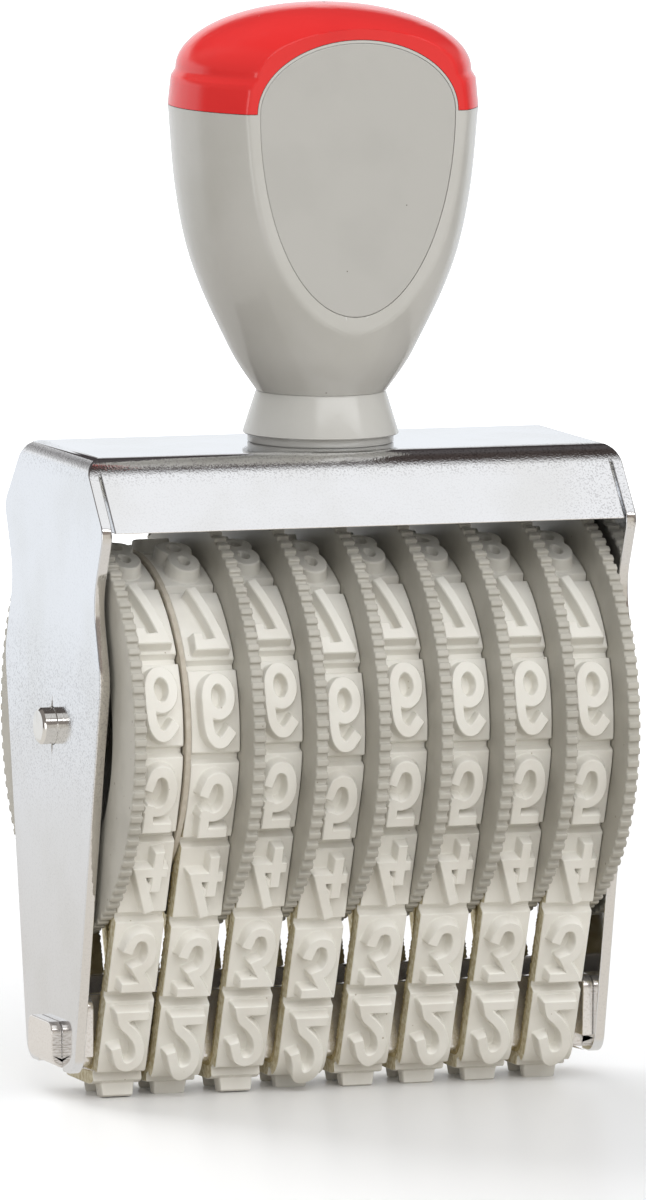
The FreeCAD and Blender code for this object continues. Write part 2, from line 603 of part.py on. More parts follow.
# Centre lines of the digits' strokes, as shares of half the digit's width and height.
# A stroke starts at its first point, then each step is a line to one point or an arc through two.
DIGIT_STROKE_SHARES = {
    "1": [[(-0.65, 0.5), [(0.1, 1)], [(0.1, -1)]], [(-0.8, -1), [(1, -1)]]],
    "2": [[(-1, 0.45), [(0, 1), (1, 0.5)], [(0.8, 0.05), (0.1, -0.4)], [(-0.95, -1)], [(1, -1)]]],
    "3": [[(-0.9, 1), [(0.9, 1)], [(-0.1, 0.28)], [(1, -0.35), (-0.05, -1)], [(-0.7, -0.88), (-1, -0.55)]]],
    "4": [[(0.4, 1), [(-1, -0.35)], [(1, -0.35)]], [(0.4, 1), [(0.4, -1)]]],
    "5": [[(0.85, 1), [(-0.75, 1)], [(-0.85, 0.15)], [(1, -0.32), (-0.1, -1)], [(-0.7, -0.88), (-1, -0.6)]]],
    "6": [[(-1, -0.5), [(0, 0), (1, -0.5)], [(0, -1), (-1, -0.5)]], [(-1, -0.5), [(-0.7, 0.4), (0.5, 1)]]],
    "7": [[(-1, 0.7), [(-1, 1)], [(1, 1)], [(-0.4, -1)]]],
    "8": [[(-0.85, 0.52), [(0, 1), (0.85, 0.52)], [(0, 0.05), (-0.85, 0.52)]],
          [(-1, -0.48), [(0, 0.05), (1, -0.48)], [(0, -1), (-1, -0.48)]]],
    "9": [[(-1, 0.5), [(0, 1), (1, 0.5)], [(0, 0), (-1, 0.5)]], [(1, 0.5), [(0.7, -0.4), (-0.5, -1)]]],
    "0": [[(-1, 0.5), [(0, 1), (1, 0.5)], [(1, -0.5)], [(0, -1), (-1, -0.5)], [(-1, 0.5)]]],
}
DIGITS_UP_THE_FRONT = "1234567890"


def straight_stroke(start, end, half_stroke):
    """Flat face of a straight stroke with round ends."""
    along = (end - start).normalize() * half_stroke
    aside = along.cross(FreeCAD.Vector(0, 0, 1))
    edges = [Part.LineSegment(start + aside, end + aside),
             Part.Arc(end + aside, end + along, end - aside),
             Part.LineSegment(end - aside, start - aside),
             Part.Arc(start - aside, start - along, start + aside)]
    return Part.Face(Part.Wire([edge.toShape() for edge in edges]))


def stroke_face(stroke, half_width, half_height):
    """Flat face of one stroke, its centre line widened to both sides. The type is a mirror image."""
    def at(shares):
        return FreeCAD.Vector(shares[0] * half_width, -shares[1] * half_height, 0)
    edges = []
    here = stroke[0]
    for step in stroke[1:]:
        if len(step) == 1:
            edges.append(Part.LineSegment(at(here), at(step[0])).toShape())
        else:
            edges.append(Part.Arc(at(here), at(step[0]), at(step[1])).toShape())
        here = step[-1]
    line = Part.Wire(edges)
    half_stroke = size("digit_stroke") / 2
    if len(edges) == 1:
        return straight_stroke(at(stroke[0]), at(here), half_stroke)
    if not line.isClosed():
        return line.makeOffset2D(half_stroke, 0, True, False)
    outer = line.makeOffset2D(half_stroke)
    inner = line.makeOffset2D(-half_stroke)
    return Part.Face(outer).cut(Part.Face(inner))


def digit_solid(digit, depth):
    """One digit standing on the XY plane, its strokes joined."""
    half_width = (value(BAND_WIDTH) - size("digit_stroke")) / 2 - size("digit_margin")
    half_height = (size("digit_height") - size("digit_stroke")) / 2
    faces = [stroke_face(stroke, half_width, half_height) for stroke in DIGIT_STROKE_SHARES[digit]]
    solids = [face.extrude(FreeCAD.Vector(0, 0, depth)) for face in faces]
    return solids[0].fuse(solids[1:]).removeSplitter() if len(solids) > 1 else solids[0]


def band_hoop(path, inner, outer):
    """Plain hoop of the band's width between two heights over its inner face."""
    section = Part.Face(path.loop(outer)).cut(Part.Face(path.loop(inner)))
    return section.Faces[0].extrude(FreeCAD.Vector(value(BAND_WIDTH), 0, 0))


def groove_cutter():
    """Wedge that opens the groove between two tiles, across the band."""
    half_face, half_floor = size("groove_width") / 2, size("groove_floor_width") / 2
    depth, over = size("groove_depth"), size("overrun")
    spread = half_face + (half_face - half_floor) * over / depth
    corners = [(-half_floor, -depth), (half_floor, -depth), (spread, over), (-spread, over)]
    half_width = value(BAND_WIDTH) / 2 + over
    spots = [FreeCAD.Vector(-half_width, along, up) for along, up in corners]
    return Part.Face(Part.makePolygon(spots + spots[:1])).extrude(FreeCAD.Vector(2 * half_width, 0, 0))


# How far each band has crept down the front from its exact place, as shares of a tile's length
CREEP_SHARES = [-0.06, 0.025, -0.06, 0.11, -0.02, -0.005, 0.005, 0.04]


def band_rubber(path, hoop, cutter, digits, creep):
    """Hoop with its grooves cut and its digits on, all moved along the band by its creep."""
    face_height = size("band_thickness")
    root = face_height - size("backing_thickness")
    grooves = []
    for tile in range(int(size("tile_count"))):
        groove = cutter.copy()
        groove.Placement = path.placement((tile + 0.5) * path.tile_pitch - creep, face_height)
        grooves.append(groove)
    raised = []
    for tile, digit in enumerate(digits):
        solid = digit.copy()
        solid.Placement = path.placement(tile * path.tile_pitch - creep, face_height - root / 2)
        raised.append(solid)
    return hoop.cut(grooves).fuse(raised).removeSplitter()


def make_bands():
    path = BandPath()
    hoop = band_hoop(path, size("backing_thickness"), size("band_thickness"))
    backing = band_hoop(path, 0, size("backing_thickness"))
    cutter = groove_cutter()
    root = size("band_thickness") - size("backing_thickness")
    digits = [digit_solid(digit, root / 2 + size("digit_relief")) for digit in DIGITS_UP_THE_FRONT]
    for number, (column, creep_share) in enumerate(zip(COLUMNS, CREEP_SHARES), start=1):
        rubber = band_rubber(path, hoop, cutter, digits, creep_share * path.tile_pitch)
        band = solid_piece(f"band_on_column_{number}", rubber)
        place(band, x=column)
        keep(f"band_{number}", band)
        lining = solid_piece(f"backing_on_column_{number}", backing.copy())
        place(lining, x=column)
        keep(f"backing_{number}", lining)


# Handle: a pear-shaped body and cap with flats front and back, a collar under it

# Outline from the neck to the seam, as shares of the rise and of the growth in radius
PEAR_SHARES = [(0, 0), (0.09, 0.2), (0.17, 0.34), (0.354, 0.617), (0.522, 0.80), (0.734, 0.925), (1, 1)]


def upright_solid(edges):
    """Solid turned round Z from a closed outline that starts and ends on the axis."""
    return Part.Face(Part.Wire(edges)).revolve(FreeCAD.Vector(0, 0, 0), FreeCAD.Vector(0, 0, 1), 360)


def ellipse_arc(centre, half_width, rise, start, end):
    """Arc of an ellipse in an upright plane, from one angle in degrees to another."""
    def at(angle):
        return FreeCAD.Vector(math.cos(math.radians(angle)), 0, math.sin(math.radians(angle)))
    unit_arc = Part.Arc(at(start), at((start + end) / 2), at(end)).toShape()
    stretch = FreeCAD.Matrix()
    stretch.scale(half_width, 1, rise)
    stretch.move(centre)
    return unit_arc.transformGeometry(stretch)


def pear(inset, foot):
    """Lower half of the handle, drawn in by an inset, from a foot height up to the seam."""
    neck, seam = value(NECK_HEIGHT), value(SEAM_HEIGHT)
    narrow, wide = size("neck_radius"), size("handle_radius")
    points = [FreeCAD.Vector(narrow + grow * (wide - narrow) - inset, 0, neck + rise * (seam - neck))
              for rise, grow in PEAR_SHARES]
    side = Part.BSplineCurve()
    side.interpolate(points)
    bottom, top = FreeCAD.Vector(0, 0, neck), FreeCAD.Vector(0, 0, seam)
    solid = upright_solid([Part.makeLine(bottom, points[0]), side.toShape(),
                           Part.makeLine(points[-1], top), Part.makeLine(top, bottom)])
    return solid.common(slab(inset, foot, seam))


def dome(inset):
    """Upper half of the handle, drawn in by an inset, from the seam to the top."""
    seam = value(SEAM_HEIGHT)
    step_foot = seam + size("cap_step_rise")
    step_top = step_foot + size("cap_step_height")
    top = step_top + size("dome_rise") - inset
    wide, crown = size("handle_radius") - inset, value(DOME_RADIUS) - inset
    corners = [FreeCAD.Vector(0, 0, top), FreeCAD.Vector(0, 0, seam), FreeCAD.Vector(wide, 0, seam),
               FreeCAD.Vector(wide - size("cap_taper"), 0, step_foot), FreeCAD.Vector(crown, 0, step_top)]
    arc = ellipse_arc(FreeCAD.Vector(0, 0, step_top), crown, top - step_top, 0, 90)
    solid = upright_solid([Part.makeLine(*ends) for ends in zip(corners, corners[1:])] + [arc])
    return solid.common(slab(inset, seam, top))


def slab(inset, foot, top):
    """Space between the handle's flats, from one height to another."""
    reach, flat = size("handle_radius") + size("overrun"), size("handle_flat") - inset
    return Part.makeBox(2 * reach, 2 * flat, top - foot, FreeCAD.Vector(-reach, -flat, foot))


def upright_cylinder(radius, foot, top):
    return Part.makeCylinder(radius, top - foot, FreeCAD.Vector(0, 0, foot))


def egg_plate(half_width, rise, drop, front, thickness):
    """Upright plate with half an ellipse over the seam and half of one, or nothing, under it."""
    centre = FreeCAD.Vector(0, front, value(SEAM_HEIGHT))
    across = FreeCAD.Vector(half_width, 0, 0)
    upper = ellipse_arc(centre, half_width, rise, 180, 0)
    lower = Part.makeLine(centre + across, centre - across)
    if drop:
        lower = ellipse_arc(centre, half_width, drop, 0, -180)
    return Part.Face(Part.Wire([upper, lower])).extrude(FreeCAD.Vector(0, thickness, 0))


def make_handle():
    wall, flat = size("handle_wall"), size("handle_flat")
    neck = value(NECK_HEIGHT)
    floor = neck + size("handle_floor")
    boss_top = value(BOSS_TOP)
    insert_foot = boss_top - size("insert_length")
    boss_radius = size("insert_radius") + size("boss_wall")
    hollow = pear(wall, floor).cut(upright_cylinder(boss_radius, floor, boss_top))
    half_width, rise, inset = value(ARCH_HALF_WIDTH), value(ARCH_RISE), size("panel_inset")
    front_arch = egg_plate(half_width, rise, 0, -flat, wall)
    rear_arch = egg_plate(half_width, rise, 0, flat - wall, wall)
    panel = egg_plate(half_width - inset, rise - inset, size("panel_drop"), -flat, size("panel_thickness"))
    body = pear(0, neck).cut(hollow)
    body = body.fuse([front_arch, rear_arch]).removeSplitter()
    body = body.cut([upright_cylinder(value(SCREW_HOLE), neck, boss_top),
                     upright_cylinder(size("insert_radius"), insert_foot, boss_top), panel])
    cap = dome(0).cut([dome(wall), front_arch, rear_arch])
    keep("handle_body", solid_piece("handle_body_shape", body))
    keep("handle_cap", solid_piece("handle_cap_shape", cap))
    keep("label_panel", solid_piece("label_panel_shape", panel))


def make_collar():
    base = cylinder("collar_foot", "sizes.collar_radius - sizes.collar_step_depth", "sizes.collar_step_rise")
    place(base, z=TOP_HEIGHT)
    cone = doc.addObject("Part::Cone", "collar_cone")
    cone.setExpression("Radius1", "sizes.collar_radius")
    cone.setExpression("Radius2", "sizes.neck_radius")
    cone.setExpression("Height", "sizes.collar_rise - sizes.collar_step_rise")
    place(cone, z=f"{TOP_HEIGHT} + sizes.collar_step_rise")
    whole = doc.addObject("Part::Fuse", "collar_whole")
    whole.Base, whole.Tool = base, cone
    bore = cylinder("collar_bore", SCREW_HOLE, "sizes.collar_rise + 2 * sizes.overrun")
    place(bore, z=f"{TOP_HEIGHT} - sizes.overrun")
    keep("handle_collar", cut("collar_bored", whole, bore))


def make_screw():
    head_top = f"({TOP_UNDERSIDE} - sizes.screw_washer_thickness)"
    head_foot = f"({head_top} - sizes.screw_head_height)"
    shank = cylinder("screw_shank", "sizes.screw_radius", f"{BOSS_TOP} - sizes.screw_tip_depth - {head_top}")
    place(shank, z=head_top)
    head = cylinder("screw_head", "sizes.screw_head_radius", "sizes.screw_head_height")
    place(head, z=head_foot)
    whole = doc.addObject("Part::Fuse", "screw_whole")
    whole.Base, whole.Tool = shank, head
    slot = doc.addObject("Part::Box", "screw_slot")
    slot.setExpression("Length", "2 * (sizes.screw_head_radius + sizes.overrun)")
    slot.setExpression("Width", "sizes.screw_slot_width")
    slot.setExpression("Height", "sizes.screw_slot_depth + sizes.overrun")
    place(slot, x="-(sizes.screw_head_radius + sizes.overrun)", y="-sizes.screw_slot_width / 2",
          z=f"{head_foot} - sizes.overrun")
    keep("handle_screw", cut("screw_slotted", whole, slot))
    washer = cylinder("washer_disc", "sizes.screw_washer_radius", "sizes.screw_washer_thickness")
    washer_bore = cylinder("washer_bore", SCREW_HOLE, "sizes.screw_washer_thickness + 2 * sizes.overrun")
    place(washer, z=head_top)
    place(washer_bore, z=f"{head_top} - sizes.overrun")
    keep("screw_washer", cut("washer_ring", washer, washer_bore))
    insert_foot = f"({BOSS_TOP} - sizes.insert_length)"
    insert = cylinder("insert_bush", "sizes.insert_radius", "sizes.insert_length")
    thread = cylinder("insert_bore", "sizes.screw_radius + sizes.thread_slip",
                      "sizes.insert_length + 2 * sizes.overrun")
    place(insert, z=insert_foot)
    place(thread, z=f"{insert_foot} - sizes.overrun")
    keep("threaded_insert", cut("insert_threaded", insert, thread))


make_frame()
make_bridge()
make_axle()
make_axle_rings()
make_wheels()
make_bands()
make_handle()
make_collar()
make_screw()
doc.recompute()

for item in doc.Objects:
    if "Invalid" in item.State or "Error" in item.State:
        raise RuntimeError(f"{item.Name} failed: {item.State}")
os.makedirs("parts", exist_ok=True)
for name, item in pieces.items():
    if item.Shape.isNull() or not item.Shape.isValid() or len(item.Shape.Solids) != 1:
        raise RuntimeError(f"{name} is not one valid solid")
    item.Shape.exportStep(f"parts/{name}.step")
    box = item.Shape.BoundBox
    print(f"{name}: {item.Shape.Volume:.1f} cubic mm, X {box.XMin:.2f} to {box.XMax:.2f},"
          f" Y {box.YMin:.2f} to {box.YMax:.2f}, Z {box.ZMin:.2f} to {box.ZMax:.2f}")
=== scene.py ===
import math

import bpy
import numpy as np
from mathutils import Matrix, Vector
from mathutils.geometry import delaunay_2d_cdt


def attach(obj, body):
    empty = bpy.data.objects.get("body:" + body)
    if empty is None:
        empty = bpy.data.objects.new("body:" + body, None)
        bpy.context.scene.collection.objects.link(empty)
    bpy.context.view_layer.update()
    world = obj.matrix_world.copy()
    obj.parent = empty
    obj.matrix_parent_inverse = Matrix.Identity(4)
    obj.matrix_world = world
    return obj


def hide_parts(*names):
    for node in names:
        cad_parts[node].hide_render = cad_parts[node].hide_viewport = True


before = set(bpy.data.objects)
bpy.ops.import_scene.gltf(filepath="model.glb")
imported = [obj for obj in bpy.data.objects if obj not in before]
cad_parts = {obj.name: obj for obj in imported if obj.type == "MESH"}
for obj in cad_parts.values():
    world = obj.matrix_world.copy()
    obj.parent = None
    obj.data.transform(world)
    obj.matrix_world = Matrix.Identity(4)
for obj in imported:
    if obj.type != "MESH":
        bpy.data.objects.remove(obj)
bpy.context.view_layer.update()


# Camera: it stands a little left of the front and slightly above, far off with a long lens.
# Its place, lens and slight roll are those that the photograph's own edges gave.

MM = 0.001
CAMERA_TURN, CAMERA_PITCH, CAMERA_ROLL = (math.radians(angle) for angle in (19.659, 6.677, 0.434))
CAMERA_DISTANCE = 2135.55 * MM
AIM = Vector((0, 0, 65.6 * MM))
AIM_PIXEL = (319.25, 602.42)
PICTURE = (646, 1200)
PIXELS_PER_METRE = 7387
SENSOR_HEIGHT = 24
FARTHEST_SEEN = 50

towards_camera = Vector((-math.sin(CAMERA_TURN) * math.cos(CAMERA_PITCH),
                         -math.cos(CAMERA_TURN) * math.cos(CAMERA_PITCH), math.sin(CAMERA_PITCH)))
level_right = Vector((math.cos(CAMERA_TURN), -math.sin(CAMERA_TURN), 0))
level_up = towards_camera.cross(level_right)
right = level_right * math.cos(CAMERA_ROLL) + level_up * math.sin(CAMERA_ROLL)
up = level_up * math.cos(CAMERA_ROLL) - level_right * math.sin(CAMERA_ROLL)
lens = bpy.data.cameras.new("camera_lens")
lens.sensor_fit = "VERTICAL"
lens.sensor_height = SENSOR_HEIGHT
lens.lens = PIXELS_PER_METRE * CAMERA_DISTANCE / PICTURE[1] * lens.sensor_height
lens.shift_x = (PICTURE[0] / 2 - AIM_PIXEL[0]) / PICTURE[1]
lens.shift_y = (AIM_PIXEL[1] - PICTURE[1] / 2) / PICTURE[1]
lens.clip_end = FARTHEST_SEEN
camera = bpy.data.objects.new("camera", lens)
bpy.context.scene.collection.objects.link(camera)
camera.matrix_world = Matrix.Translation(AIM + towards_camera * CAMERA_DISTANCE) @ Matrix(
    (right, up, towards_camera)).transposed().to_4x4()
bpy.context.scene.camera = camera
bpy.context.scene.view_settings.view_transform = "Standard"


# Table and light: a smooth white table, a large soft lamp over the front, one behind and a weak one at
# the right. The table shows white to the camera and keeps the stamp's soft shadow. What is shiny sees
# a plain studio with bright and dark stretches.

NODE_STEP, NODES_IN_A_ROW = (190, 270), 9


def feed(tree, socket, content):
    """Gives a socket a plain value, or another node's output."""
    if isinstance(content, bpy.types.NodeSocket):
        tree.links.new(content, socket)
    else:
        socket.default_value = content


def put(tree, kind, choices=(), **contents):
    """Adds a node, with its choices and what its named sockets take."""
    node = tree.nodes.new("ShaderNode" + kind)
    row, column = divmod(len(tree.nodes), NODES_IN_A_ROW)
    node.location = NODE_STEP[0] * column, -NODE_STEP[1] * row
    for name, choice in dict(choices).items():
        setattr(node, name, choice)
    for name, content in contents.items():
        feed(tree, node.inputs[name.replace("_", " ")], content)
    return node


def reckon(tree, operation, *terms):
    """A sum on plain values and other nodes' outputs."""
    node = put(tree, "Math", {"operation": operation})
    for socket, term in zip(node.inputs, terms):
        feed(tree, socket, term)
    return node.outputs[0]


def product(tree, first, *others):
    """The product of plain values and other nodes' outputs."""
    for other in others:
        first = reckon(tree, "MULTIPLY", first, other)
    return first


def between(tree, share, low, high):
    """How far a value has come from low to high, from 0 to 1."""
    node = put(tree, "MapRange", {"interpolation_type": "SMOOTHSTEP"}, Value=share)
    feed(tree, node.inputs["From Min"], low)
    feed(tree, node.inputs["From Max"], high)
    return node.outputs["Result"]


def mixed(tree, share, first, second):
    """One colour shading into another by a share."""
    node = put(tree, "Mix", {"data_type": "RGBA"})
    for index, content in ((0, share), (6, first), (7, second)):
        feed(tree, node.inputs[index], content)
    return node.outputs[2]


def new_finish(name, **contents):
    """A material with its surface shader, and the tree to paint it in."""
    material = bpy.data.materials.new(name)
    material.use_nodes = True
    tree = material.node_tree
    surface = tree.nodes["Principled BSDF"]
    for socket, content in contents.items():
        feed(tree, surface.inputs[socket.replace("_", " ")], content)
    return material, tree, surface


def painted(tree, surface, share, first, second):
    """Paints a surface in one colour that shades into another by a share."""
    feed(tree, surface.inputs["Base Color"], mixed(tree, share, first, second))


def noise(tree, scale, detail):
    """Soft noise that stays on the object, with about this many grains to a metre."""
    spot = put(tree, "TexCoord").outputs["Object"]
    return put(tree, "TexNoise", Vector=spot, Scale=scale, Detail=detail).outputs["Fac"]


def straight_view(tree, ray):
    """Where the camera sees a thing itself, and not the light that it throws or its reflection."""
    return reckon(tree, "MAXIMUM", ray["Is Camera Ray"], ray["Is Transmission Ray"])


def ramp(tree, angle, stops):
    """Colours that follow an angle from 0 to 180 degrees."""
    node = put(tree, "ValToRGB", Fac=reckon(tree, "DIVIDE", angle, math.pi))
    elements = node.color_ramp.elements
    for index, (degrees, colour) in enumerate(stops):
        element = elements[index] if index < 2 else elements.new(degrees / 180)
        element.position, element.color = degrees / 180, colour
    return node.outputs["Color"]


WHITE = (1, 1, 1, 1)

# What shiny surfaces see round them near the level of the table, by the angle away from the front
SIDES = [
    (0, (0.7, 0.67, 0.62, 1)), (60, (0.56, 0.53, 0.48, 1)), (76, (0.2, 0.18, 0.17, 1)),
    (118, (0.16, 0.15, 0.15, 1)), (130, (0.9, 0.94, 0.98, 1)), (180, (0.95, 0.97, 1, 1)),
]
DARK_RIGHT, LEFT_STRIP = (0.22, 0.2, 0.19, 1), (2.4, 2.4, 2.4, 1)
# What they see further up, by the angle from the front over the top to the back
OVERHEAD = [
    (0, (0.3, 0.26, 0.23, 1)), (46, (0.36, 0.32, 0.3, 1)), (56, WHITE), (80, WHITE),
    (88, (0.06, 0.045, 0.04, 1)), (120, (0.1, 0.09, 0.09, 1)), (158, (0.06, 0.05, 0.05, 1)), (166, WHITE),
]
DARK_SIDES, HIGH_STRIP = (0.24, 0.22, 0.21, 1), (3, 3, 3, 1)


def round_the_sides(tree, direction, length):
    """The colour that lies in a direction near the table's level, with a bright strip at the left only."""
    parts = put(tree, "SeparateXYZ", Vector=direction).outputs
    across, ahead = (reckon(tree, "DIVIDE", part, length) for part in parts[:2])
    colour = ramp(tree, reckon(tree, "ARCCOSINE", product(tree, ahead, -1.0)), SIDES)
    on_the_right = product(tree, between(tree, across, 0.5, 0.7), between(tree, ahead, 0.4, 0.1))
    strip = product(tree, between(tree, across, -0.78, -0.84), between(tree, across, -0.96, -0.92),
                    between(tree, ahead, 0.1, -0.1))
    return mixed(tree, strip, mixed(tree, on_the_right, colour, DARK_RIGHT), LEFT_STRIP)


TABLE_HALF_WIDTH = 12
TABLE_GLOW, DISTANT_GLOW = 0.01, 0.7
LIGHT_OFF_THE_TABLE, TABLE_MIRRORED = (0.56, 0.53, 0.48, 1), (0.76, 0.74, 0.71, 1)

table_mesh = bpy.data.meshes.new("table")
table_mesh.from_pydata([(x * TABLE_HALF_WIDTH, y * TABLE_HALF_WIDTH, 0)
                        for x, y in ((-1, -1), (1, -1), (1, 1), (-1, 1))], [], [(0, 1, 2, 3)])
table = bpy.data.objects.new("table", table_mesh)
bpy.context.scene.collection.objects.link(table)
table_finish, tree, surface = new_finish("table_white", Roughness=0.34, Specular_IOR_Level=0.16)
ray = put(tree, "LightPath").outputs
painted(tree, surface, ray["Is Diffuse Ray"], mixed(
    tree, noise(tree, 9.0, 3.0), (0.83, 0.835, 0.84, 1), (0.86, 0.86, 0.86, 1)), LIGHT_OFF_THE_TABLE)
place = put(tree, "TexCoord").outputs["Object"]
distance = put(tree, "VectorMath", {"operation": "LENGTH"}, Vector=place).outputs["Value"]
brighter = reckon(tree, "MULTIPLY_ADD", between(tree, distance, 0.2, 0.9), DISTANT_GLOW, TABLE_GLOW)
glow = put(tree, "Emission", Color=WHITE, Strength=product(tree, straight_view(tree, ray), brighter))
lit = put(tree, "AddShader")
tree.links.new(surface.outputs[0], lit.inputs[0])
tree.links.new(glow.outputs[0], lit.inputs[1])
mirrored = put(tree, "Emission", Strength=1.0, Color=mixed(
    tree, between(tree, distance, 0.1, 0.6), TABLE_MIRRORED, round_the_sides(tree, place, distance)))
chosen = put(tree, "MixShader", Fac=ray["Is Glossy Ray"])
tree.links.new(lit.outputs[0], chosen.inputs[1])
tree.links.new(mirrored.outputs[0], chosen.inputs[2])
tree.links.new(chosen.outputs[0], tree.nodes["Material Output"].inputs["Surface"])
table_mesh.materials.append(table_finish)

ROOM_LIGHT = 0.7
STRIP_STARTS, STRIP_FULL, STRIP_FADES, STRIP_ENDS = (math.radians(angle) for angle in (33, 36, 44, 47))

room = bpy.data.worlds.new("room")
bpy.context.scene.world = room
room.use_nodes = True
tree = room.node_tree
direction = put(tree, "TexCoord").outputs["Generated"]
across, deep, level = put(tree, "SeparateXYZ", Vector=direction).outputs
height = reckon(tree, "MAXIMUM", level, 0.0)
over_the_top = reckon(tree, "ARCTAN2", height, product(tree, deep, -1.0))
beside = reckon(tree, "MAXIMUM", between(tree, across, -0.25, -0.45), between(tree, across, 0.6, 0.75))
overhead = mixed(tree, beside, ramp(tree, over_the_top, OVERHEAD), DARK_SIDES)
strip = product(tree, between(tree, over_the_top, STRIP_STARTS, STRIP_FULL),
                between(tree, over_the_top, STRIP_ENDS, STRIP_FADES), reckon(tree, "SUBTRACT", 1.0, beside))
overhead = mixed(tree, strip, overhead, HIGH_STRIP)
reflected = mixed(tree, between(tree, level, 0.14, 0.3), round_the_sides(tree, direction, 1.0), overhead)
ray = put(tree, "LightPath").outputs
shown = mixed(tree, ray["Is Glossy Ray"], (ROOM_LIGHT, ROOM_LIGHT, ROOM_LIGHT, 1), reflected)
shown = mixed(tree, straight_view(tree, ray), shown, WHITE)
feed(tree, tree.nodes["Background"].inputs["Color"], shown)

# Each lamp's place and width in metres, and its power
LAMPS = {
    "lamp_front": ((0.05, -1.9, 1.5), 2.2, 32),
    "lamp_right": ((1.9, -0.7, 0.9), 1.2, 6),
    "lamp_back": ((-0.6, 1.8, 1.4), 1.6, 44),
}
for name, (place, width, power) in LAMPS.items():
    lamp_data = bpy.data.lights.new(name, "AREA")
    lamp_data.size = width
    lamp_data.energy = power
    lamp = bpy.data.objects.new(name, lamp_data)
    bpy.context.scene.collection.objects.link(lamp)
    lamp.location = place
    lamp.rotation_euler = (AIM - Vector(place)).to_track_quat("-Z", "Y").to_euler()
    lamp.visible_glossy = False


# Frame and bridge: one pressed steel sheet folded over the wheels, and a folded channel at the foot.
# Both are chrome plated over steel that wasn't polished fine, so the plating has a slight orange peel.

def new_effect(name, inputs, outputs):
    """A shader group: plain numbers in, colours or numbers out. Gives its tree and its two end nodes."""
    group = bpy.data.node_groups.new(name, "ShaderNodeTree")
    for socket, start in inputs.items():
        kind = "NodeSocketColor" if hasattr(start, "__len__") else "NodeSocketFloat"
        group.interface.new_socket(socket, in_out="INPUT", socket_type=kind).default_value = start
    for socket, kind in outputs.items():
        group.interface.new_socket(socket, in_out="OUTPUT", socket_type="NodeSocket" + kind)
    return group, group.nodes.new("NodeGroupInput").outputs, group.nodes.new("NodeGroupOutput").inputs


def use_effect(tree, group, **contents):
    """Places a shader group in a material with its own values."""
    return put(tree, "Group", {"node_tree": group}, **contents).outputs


def in_grains(tree, size):
    """Scale of a texture whose grains have this size in metres."""
    return reckon(tree, "DIVIDE", 1.0, size)


# Small even waves of a plated or moulded skin, and wider dull and bright patches
plating_skin, given, made = new_effect("plating_skin", {"Grain": 0.0006, "Patch": 0.012},
                                       {"Height": "Float", "Dullness": "Float"})
feed(plating_skin, made["Height"], noise(plating_skin, in_grains(plating_skin, given["Grain"]), 1.5))
patches = noise(plating_skin, in_grains(plating_skin, given["Patch"]), 4.0)
feed(plating_skin, made["Dullness"], between(plating_skin, patches, 0.4, 0.7))


def parts_of(tree, kind):
    """The three parts of a spot on the object, or of the way that its surface faces there."""
    return put(tree, "SeparateXYZ", Vector=put(tree, "TexCoord").outputs[kind]).outputs


def facing_the_front(tree):
    """Where the surface faces the front, such as the sheet's cut edges."""
    return between(tree, product(tree, parts_of(tree, "Normal")[1], -1.0), 0.85, 0.97)


def bumped(tree, surface, height, depth):
    """Turns a height into a bump of this depth in metres."""
    bump = put(tree, "Bump", Height=height, Distance=depth, Strength=1.0)
    tree.links.new(bump.outputs["Normal"], surface.inputs["Normal"])


chrome, tree, surface = new_finish("chrome_plate", Metallic=1.0)
skin = use_effect(tree, plating_skin, Grain=0.26 * MM, Patch=13 * MM)
across, _, level = parts_of(tree, "Object")
facing_up = parts_of(tree, "Normal")[2]

# The plating is grainier round the axle's ends, along the bends and at the skirts' ends
by_the_axle = product(tree, between(tree, level, 34 * MM, 50 * MM), between(tree, level, 68 * MM, 54 * MM))
by_the_end = product(tree, between(tree, across, 24 * MM, 37 * MM), between(tree, level, 76 * MM, 78 * MM))
by_the_bend = product(tree, between(tree, level, 83.5 * MM, 86 * MM), between(tree, facing_up, 0.99, 0.9))
grainy = reckon(tree, "MAXIMUM", by_the_bend, reckon(tree, "MAXIMUM", by_the_axle, by_the_end))
pits = product(tree, between(tree, skin["Height"], 0.48, 0.68),
               reckon(tree, "MULTIPLY_ADD", grainy, 0.36, 0.06))
plating_and_reflection = mixed(tree, skin["Dullness"], (0.84, 0.85, 0.87, 1), (0.8, 0.805, 0.81, 1))
# Surfaces that face the front get a warm tint: a painted reflection of the table in front of them.
plating_and_reflection = mixed(tree, facing_the_front(tree), plating_and_reflection, (0.82, 0.79, 0.75, 1))
painted(tree, surface, pits, plating_and_reflection, (0.26, 0.25, 0.26, 1))
feed(tree, surface.inputs["Roughness"], reckon(tree, "MULTIPLY_ADD", skin["Dullness"], 0.05, 0.06))

# The sheet isn't flat right beside a bend: it starts to turn a millimetre or two before it
SAG_LEVEL, SAG_RATE = 84.8 * MM, -61.0
rise = reckon(tree, "MAXIMUM", reckon(tree, "SUBTRACT", level, SAG_LEVEL), 0.0)
sag = product(tree, rise, rise, SAG_RATE)
depth = reckon(tree, "MULTIPLY_ADD", grainy, 0.011 * MM, 0.003 * MM)
bumped(tree, surface, reckon(tree, "MULTIPLY_ADD", skin["Height"], depth, sag), 1.0)

